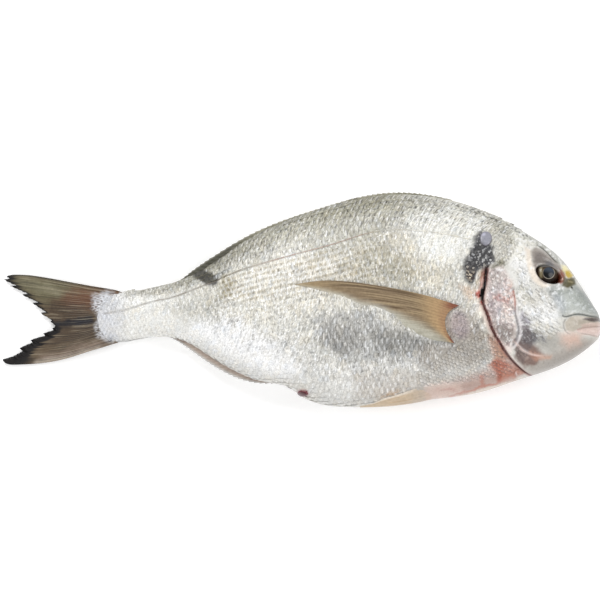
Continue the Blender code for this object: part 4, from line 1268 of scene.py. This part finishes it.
def make_tail_fin():
    """The forked tail: branching rays with ragged, black-edged tips."""
    steps, across = 70, TAIL_RAYS * 12 + 1
    u, v = np.meshgrid(np.linspace(0, 1, steps), np.linspace(0, 1, across), indexing="ij")
    lower, upper, edge = path(TAIL_LOWER), path(TAIL_UPPER), path(TAIL_EDGE)
    low, high, end = lower(u[:, 0])[:, None], upper(u[:, 0])[:, None], edge(v[0])[None]
    root = mix(low[:1], high[:1], v[:1, :, None])
    straight = mix(low, high, v[..., None])
    tips = mix(straight[-1:], end, 1.0)
    reach = (u**1.3)[..., None]
    flat = straight + (tips - straight[-1:]) * reach
    x, y = flat[..., 0], flat[..., 1]
    rays = ray_profile(v, TAIL_RAYS, u, 0.4, 0.7)
    x = x + torn_back(v) * smooth(0.8, 1.0, u)
    z = middle(x) + 0.5 * cloudy(noise_b, x, y, 16) * u
    thickness = mix(2.1, 0.45, u**0.6) * mix(0.62, 1.0, rays)
    z = np.maximum(z, thickness / 2 + 0.05)
    colours = tail_paint(x, y, u, v, rays)
    out = np.broadcast_to(np.array([0.0, 0.0, 1.0]), (*x.shape, 3))
    points = np.stack([x, y, z], -1)
    fin_sheet("tail_fin_rays", points[:, ::-1], out, thickness[:, ::-1], colours[:, ::-1],
              ["tail_fin"])


TAIL_MARKS = [
    ("#6f6a50", 0.85, 4.0, 1.5, [(2, 21), (8, 23), (26, 21), (44, 17), (36, 11), (22, 8), (12, 13)]),
    ("#8f8a72", 0.50, 2.5, 1.5, [(8, 18), (12, 21), (26, 18), (30, 13), (20, 14)]),
    ("#6f4832", 0.75, 4.0, 1.5, [(28, 9), (36, 16), (60, 15), (60, 6), (48, 5), (36, 5)]),
    ("#4c3e31", 0.80, 4.0, 1.5, [(20, 2), (27, 9), (40, 7), (50, 2), (50, -9), (36, -12), (18, -12)]),
    ("#8d7b6e", 0.75, 3.0, 1.5, [(20, -18), (34, -15), (48, -10.5), (60, -11), (44, -16), (24, -21)]),
    ("#c9beb0", 0.60, 1.6, 0.8, [(18, -20.4), (34, -17.6), (50, -13), (50, -15), (32, -20), (16, -23)]),
    ("#181c26", 0.90, 1.3, 0.8, [(25, -1.4), (34, 0.2), (46, 1.8), (47, -1.8), (34, -3.6), (27, -4.0)]),
    ("#b0b1b6", 0.60, 1.6, 2.6, [(47.4, 14), (56, 15), (56, -12), (50, -8), (48.2, -2), (50, 3.5), (46.8, 8)]),
]
TAIL_ROOT_SCALES = [(46.4, 12), (56, 15), (56, -10.4), (49, -8.4), (47.6, -4), (50, 1.4), (46.4, 6)]


def tail_paint(x, y, u, v, rays):
    streak = 0.7 * noise_a(u * 3.5, v * 85) + noise_b(u * 6, v * 150)
    colours = put_marks(np.broadcast_to(rgb("#635442"), (*x.shape, 3)), x, y, TAIL_MARKS)
    colours = tint(colours, "#2f2923", 0.50 * smooth(0.1, 0.8, streak))
    colours = tint(colours, "#b3a78f", 0.30 * smooth(0.2, 1.0, -streak))
    lower = smooth(TAIL_FORK + 0.04, TAIL_FORK - 0.04, v)
    edge = smooth(0.90, 0.97, u + 0.05 * lower + 0.03 * streak + 0.02 * cloudy(noise_c, x, y, 6))
    tip = spot(x, y, (5, -20.5), (14, 4.2), 5, 0.5)
    colours = tint(colours, "#101013", 0.95 * np.maximum(edge, tip))
    colours = tint(colours, "#1b1a18", 0.5 * smooth(0.96, 0.99, v) * smooth(0.3, 0.6, u))
    flecks = patch(x, y, TAIL_ROOT_SCALES, 2.2) * smooth(-0.35, 0.1, noise_c(x * 1.7, y * 2.3))
    colours = tint(colours, "#e9ebf0", 0.9 * flecks)
    return colours * mix(0.84, 1.06, rays)[..., None]


PECTORAL_ROOT = [(227.0, -11.2), (223.6, -6.4), (222.4, -1.0), (223.4, 2.8), (226.4, 5.6), (229.4, 7.2)]
PECTORAL_MARGIN = [(214.5, -9.9), (203, -5.9), (191.5, -0.2), (182, 5.4), (173, 10.0), (160, 14.9),
                   (147.3, 17.7)]
PECTORAL_TOP = [(229.4, 7.2), (214.3, 11.8), (195, 16.1), (176, 18.9), (160, 19.5), (147.3, 17.7)]
PECTORAL_RAYS = 16
PECTORAL_BAND = [(140, 1.0), (147.3, 1.6), (160, 4.6), (180, 8.8), (200, 12.4), (215, 16), (232, 22)]


def brown_band(x, y):
    """How much a place belongs to the stout brown rays along the fin's top edge."""
    below_top = spline(PECTORAL_TOP[::-1])(x) - y
    return smooth(3.6, -3.2, below_top - spline(PECTORAL_BAND)(x) + 1.2 * cloudy(noise_b, x, 3 * y, 9))


def pectoral_grid(steps):
    """Places in side view along the fin's rays: u from root to margin, v from its
    lowest ray to its highest."""
    across = PECTORAL_RAYS * 8 + 1
    u, v = np.meshgrid(np.linspace(0, 1, steps), np.linspace(0, 1, across), indexing="ij")
    root, margin, top = path(PECTORAL_ROOT), path(PECTORAL_MARGIN), path(PECTORAL_TOP)
    start, end = root(v[0])[None], margin(v[0] ** 1.15)[None]
    straight = mix(start, end, u[..., None])
    top_line = top(u[:, 0])[:, None]
    bow = top_line - mix(start[:, -1:], end[:, -1:], u[:, :1, None])
    flat = straight + bow * (v**1.6)[..., None]
    return flat[..., 0], flat[..., 1], u, v


def pectoral_paint(x, y, u, v, rays):
    streak = 0.25 * noise_b(u * 3, v * 34) + 0.8 * noise_a(u * 3, v * 62)
    joints = noise_c(u * 70, v * PECTORAL_RAYS * 2)
    along_top = brown_band(x, y)
    colours = np.broadcast_to(rgb("#a5906d"), (*x.shape, 3))
    colours = tint(colours, "#bb9a72", 0.85 * smooth(0.40, 0.08, u))
    colours = tint(colours, "#a9a692", 0.85 * (1 - along_top) * smooth(0.02, 0.2, u))
    colours = tint(colours, "#83705a", 0.80 * along_top * smooth(0.12, 0.4, u) * smooth(146, 178, x))
    dark = along_top**2 * smooth(0.12, 0.35, u) * smooth(1.05, 0.75, u)
    colours = tint(colours, "#4c3a26", 0.62 * dark * smooth(0.0, 0.5, streak))
    colours = tint(colours, "#c2ad88", 0.40 * dark * smooth(0.05, 0.5, -streak))
    colours = tint(colours, "#c9c6b4", 0.45 * (1 - along_top) * smooth(0.0, 0.5, -streak) * smooth(0.1, 0.3, u))
    red = smooth(0.13, 0.02, u) * mix(0.35, 1.0, smooth(0.25, 0.42, np.abs(v - 0.5)))
    colours = tint(colours, "#7d3a2c", 0.85 * red)
    seen_through = (1 - along_top) * mix(0.35, 0.95, smooth(205, 190, x)) * smooth(0.05, 0.25, u)
    colours = mix(colours, paint(x, y), seen_through[..., None])
    return colours * (mix(0.86, 1.04, rays) + 0.05 * joints)[..., None]


def make_pectoral_fins():
    x, y, u, v = pectoral_grid(72)
    rays = ray_profile(v, PECTORAL_RAYS, u, 0.3, 0.8)
    thickness = mix(1.7, 0.34, smooth(0, 0.5, u)) * mix(0.75, 1.0, rays)
    share = height_share(x, y)
    out = skin_normal(x, share, RIGHT)
    lift = mix(0.2, 1.0, smooth(0, 0.12, u)) - 0.5 * smooth(0.4, 1.0, u) + 0.06 * cloudy(noise_c, x, y, 9)
    lift = lift - (1 - brown_band(x, y)) * mix(0.45, 1.1, smooth(205, 190, x)) * smooth(0.08, 0.3, u)
    points = skin_over_pad(x, share, RIGHT, lift)
    colours = pectoral_paint(x, y, u, v, rays)
    fin_sheet("pectoral_fin_right_rays", points[:, ::-1], out[:, ::-1], thickness[:, ::-1],
              colours[:, ::-1], ["pectoral_fin_right"])
    thickness = np.minimum(thickness, 0.8)
    points = np.stack([x, y, 0.45 + 0 * x], -1)
    upward = np.broadcast_to(np.array([0.0, 0.0, 1.0]), (*x.shape, 3))
    fin_sheet("pectoral_fin_left_rays", points[:, ::-1], upward[:, ::-1], thickness[:, ::-1],
              colours[:, ::-1], ["pectoral_fin_left"])


def skin_over_pad(x, v, side, lift):
    """Points over the plain flank, without the fleshy pad's own rise."""
    return bare_skin(x, v, side) + skin_normal(x, v, side) * lift[..., None]


PELVIC_OUTER = [(229, 8.2), (220, 7.8), (214.3, 7.3), (210, 6.7), (205.7, 6.2), (202, 5.5), (197, 4.6),
                (191.4, 3.6), (187, 1.8), (180, 0.4)]
PELVIC_RAYS = 6


def make_pelvic_fins():
    """The belly fins, folded back along either side of the belly's ridge."""
    steps, across = 60, PELVIC_RAYS * 8 + 1
    u, v = np.meshgrid(np.linspace(0, 1, steps), np.linspace(0, 1, across), indexing="ij")
    outer_x, outer_rise = np.array(PELVIC_OUTER).T
    x = mix(outer_x[0], outer_x[-1], u)
    outer = np.interp(x, outer_x[::-1], outer_rise[::-1])
    outer_share = np.sqrt(height_share(x, belly(x) + outer))
    share = mix(0.02, outer_share, v) ** 2
    rays = ray_profile(v, PELVIC_RAYS, u, 0.5)
    thickness = mix(0.9, 0.4, smooth(0, 0.6, u)) * mix(0.75, 1.0, rays)
    lift = mix(-0.9, 0.6, smooth(0.1, 0.5, u)) - 0.2 * smooth(0.6, 1.0, u)
    lift = lift - 0.6 * smooth(0.5, 1.0, v) * smooth(0.6, 0.3, u) - 0.2 * smooth(0.85, 1.0, v)
    streak = cloudy(noise_a, u * 5, v * 22, 3)
    colours = np.broadcast_to(rgb("#cfba9f"), (*x.shape, 3))
    colours = tint(colours, "#c29a88", 0.75 * smooth(0.55, 0.2, u) * smooth(-0.3, 0.4, streak))
    colours = tint(colours, "#b58a5c", 0.5 * smooth(0.1, 0.5, streak) * smooth(0.3, 0.5, u) * smooth(0.8, 0.6, u))
    colours = tint(colours, "#ece3d6", 0.8 * smooth(0.86, 0.97, v) * smooth(0.35, 0.55, u))
    colours = colours * mix(0.90, 1.03, rays)[..., None]
    around = paint(x, side_height(x, share))
    colours = mix(around, colours, (smooth(0.12, 0.6, u) * mix(1.0, 0.7, smooth(0.3, 0.1, v)))[..., None])
    for side, word in ((RIGHT, "right"), (LEFT, "left")):
        out = skin_normal(x, share, side)
        points = skin_over_pad(x, share, side, lift)
        order = slice(None, None, -1) if side == RIGHT else slice(None)
        fin_sheet(f"pelvic_fin_{word}_rays", points[:, order], out[:, order], thickness[:, order],
                  colours[:, order], [f"pelvic_fin_{word}"])


DORSAL_HEIGHT = [(90, 0.2), (98, 2.9), (108, 3.5), (120, 2.5), (140, 1.2), (180, 1.0), (210, 0.9),
                 (226, 0.3)]
ANAL_HEIGHT = [(84, 0.2), (94, 3.2), (106, 4.0), (118, 3.4), (130, 1.7), (139, 0.2)]
FOLDED_THICK_ROOT, FOLDED_THICK_TIP = 2.4, 1.0


def folded_fin(name, edge, heights, outwards, replaced, finish_paint, ray_gap):
    """A median fin folded down: a low ridge of rays that slant back and overlap."""
    steps, across = 420, 13
    start, end = heights[0][0], heights[-1][0]
    u, v = np.meshgrid(np.linspace(0, 1, steps), np.linspace(0, 1, across), indexing="ij")
    x = mix(start, end, u)
    rise = mix(-2.0, np.maximum(spline(heights)(x), 0.15), v)
    phase = (x + 1.3 * rise) / ray_gap
    rays = ridge(1 - np.abs(phase % 1 - 0.5) * 2, 0.5)
    tooth = 0.55 * (phase % 1) * smooth(0.75, 1.0, v)
    y = edge(x) + outwards * (rise - tooth * (rise > 0.4))
    thickness = mix(FOLDED_THICK_ROOT, FOLDED_THICK_TIP * 0.8, v) * mix(0.72, 1.0, rays)
    colours = finish_paint(x, rise, v) * mix(0.88, 1.08, rays)[..., None]
    points = np.stack([x, y, middle(x) + 0.25 * cloudy(noise_b, x, 0 * x, 9)], -1)
    out = np.broadcast_to(np.array([0.0, 0.0, 1.0]), (*x.shape, 3))
    order = slice(None) if outwards > 0 else slice(None, None, -1)
    fin_sheet(name, points[:, order], out[:, order], thickness[:, order], colours[:, order], replaced)


def dorsal_paint(x, rise, v):
    colours = np.broadcast_to(rgb("#a19e8c"), (*x.shape, 3))
    colours = tint(colours, "#77745f", 0.6 * smooth(-0.2, 0.4, cloudy(noise_a, x, rise, 5)))
    colours = tint(colours, "#37352a", 0.85 * smooth(128, 112, x + 4 * noise_b(x / 5, rise)))
    return tint(colours, "#b9b6a8", 0.5 * smooth(0.75, 1.0, v))


def anal_paint(x, rise, v):
    colours = np.broadcast_to(rgb("#b5a599"), (*x.shape, 3))
    colours = tint(colours, "#83746b", 0.6 * smooth(-0.1, 0.5, cloudy(noise_a, x, rise, 6)))
    return tint(colours, "#c9c9c6", 0.85 * smooth(0.6, 1.0, v))


def make_folded_fins():
    folded_fin("dorsal_fin_rays", back, DORSAL_HEIGHT, 1.0, ["dorsal_fin"], dorsal_paint, 2.6)
    folded_fin("anal_fin_rays", belly, ANAL_HEIGHT, -1.0, ["anal_fin"], anal_paint, 2.2)


# The eyes

EYE_RADII = (6.2, 6.0, 4.2)
PUPIL, PUPIL_AT = 2.75, (0.0, -0.6)


def make_eye(side, word):
    """A flattened ball with a clouded pupil, a pale ring and a brown-gold iris."""
    low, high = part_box(f"eye_{word}")
    centre = np.array((low + high) / 2)
    x, y = 274.2, 24.2
    out = Vector(skin_normal(np.array(x), height_share(x, y), side))
    turn = out.to_track_quat("Z", "Y").to_matrix()
    rings, segments = 90, 96
    polar = np.linspace(0, math.pi, rings)[:, None]
    round_it = np.arange(segments)[None] / segments * 2 * math.pi
    local = np.stack([
        EYE_RADII[0] * np.sin(polar) * np.cos(round_it),
        EYE_RADII[1] * np.sin(polar) * np.sin(round_it),
        EYE_RADII[2] * np.cos(polar) + 0 * round_it,
    ], -1)
    local[..., 2] *= 0.9
    turned = local.reshape(-1, 3) @ np.array(turn).T
    points = turned + centre * 1000 - ROW_FROM_FISH
    seen = points.reshape(*local.shape) - np.array([x, y, 0])
    colours = eye_paint(seen[..., 0], seen[..., 1], local[..., 2])
    faces = grid_faces(rings, segments, closed=True)
    make_piece(f"eyeball_{word}", points, faces, colours.reshape(-1, 3), eye_finish,
               [f"eye_{word}"])


def eye_paint(dx, dy, depth):
    reach = np.hypot(dx - PUPIL_AT[0], dy - PUPIL_AT[1])
    colours = np.broadcast_to(rgb("#3a2a1d"), (*dx.shape, 3))
    crescent = ridge(dx + 3.9, 0.75) * smooth(3.2, 1.6, dy) * smooth(-4.6, -2.6, dy)
    colours = tint(colours, "#938768", 0.95 * crescent)
    colours = tint(colours, "#6b6966", 0.9 * smooth(1.8, 2.8, dy))
    colours = tint(colours, "#5d5a48", 0.6 * spot(dx, dy, (3.9, -0.2), (0.9, 1.4), 0, 0.8))
    colours = tint(colours, "#1c110c", 0.9 * smooth(-2.9, -3.8, dy))
    # Painted light: the pale ring is brighter at its lower right, as if lit there, and faint at its upper left.
    lit = mix(0.45, 1.0, smooth(-1.5, 2.0, dx - dy)) * smooth(2.2, 0.6, dy)
    colours = tint(colours, "#b9b3a4", 0.9 * lit * ridge(reach - PUPIL - 0.15, 0.16))
    pupil = smooth(PUPIL + 0.12, PUPIL - 0.12, reach)
    colours = tint(colours, "#08090c", pupil)
    return tint(colours, "#434c59", 0.9 * pupil * smooth(-1.6, 1.4, dy + 0.3 * dx))


# The picture


def area_light(name, place, size, power, colour=(1, 1, 1)):
    data = bpy.data.lights.new(name, "AREA")
    data.shape = "DISK"
    data.size = size
    data.energy = power
    data.color = colour
    lamp = bpy.data.objects.new(name, data)
    lamp.location = place
    lamp.rotation_euler = (-Vector(place)).to_track_quat("-Z", "Y").to_euler()
    bpy.context.scene.collection.objects.link(lamp)


def make_studio():
    """A pale floor, a white surround, a large soft key light and three more from the sides and front."""
    world = bpy.data.worlds.new("studio")
    bpy.context.scene.world = world
    world.use_nodes = True
    world.node_tree.nodes["Background"].inputs["Color"].default_value = (1.0, 1.0, 1.0, 1.0)
    world.node_tree.nodes["Background"].inputs["Strength"].default_value = 0.46
    area_light("key", (-0.35, 0.75, 0.85), 0.5, 7.0)
    area_light("right", (0.95, 0.15, 0.7), 0.6, 4.6)
    area_light("left", (-0.95, -0.1, 0.7), 0.6, 3.6)
    area_light("front", (0.15, -0.95, 0.7), 0.6, 5.0)
    mesh = bpy.data.meshes.new("floor")
    reach = 3.0
    mesh.from_pydata([(-reach, -reach, 0), (reach, -reach, 0), (reach, reach, 0), (-reach, reach, 0)], [],
                     [(0, 1, 2, 3)])
    floor = bpy.data.objects.new("floor", mesh)
    floor.location.z = -0.0003
    paper = new_material("paper", 0.6)
    paper[3].inputs["Base Color"].default_value = (0.96, 0.96, 0.96, 1)
    paper[3].inputs["Emission Color"].default_value = (1, 1, 1, 1)
    paper[3].inputs["Emission Strength"].default_value = 0.15
    mesh.materials.append(paper[0])
    bpy.context.scene.collection.objects.link(floor)
    floor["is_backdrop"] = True
    bpy.context.scene.view_settings.view_transform = "Standard"


def make_camera():
    """A long lens that looks straight down, with the fish across the whole width."""
    data = bpy.data.cameras.new("camera")
    distance, width = 9.0, 0.3
    data.lens = data.sensor_width * distance / width
    data.clip_end = 20
    camera = bpy.data.objects.new("camera", data)
    centre = (np.array([150.0, 10.0, middle(200.0)]) + ROW_FROM_FISH) * 0.001
    camera.location = centre + np.array([0, 0, distance])
    bpy.context.scene.collection.objects.link(camera)
    bpy.context.scene.camera = camera


make_camera()
make_studio()
make_skin()
make_trunk_scales()
make_small_scales()
make_lateral_line()
make_domes("bone_disc", DISC, DISC_RADII, 0.85, disc_dress)
make_domes("vent", VENT, VENT_RADII, 0.7, vent_dress)
make_tail_fin()
make_pectoral_fins()
make_pelvic_fins()
make_folded_fins()
make_eye(RIGHT, "right")
make_eye(LEFT, "left")

visual_bounds = [list(corner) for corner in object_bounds()]
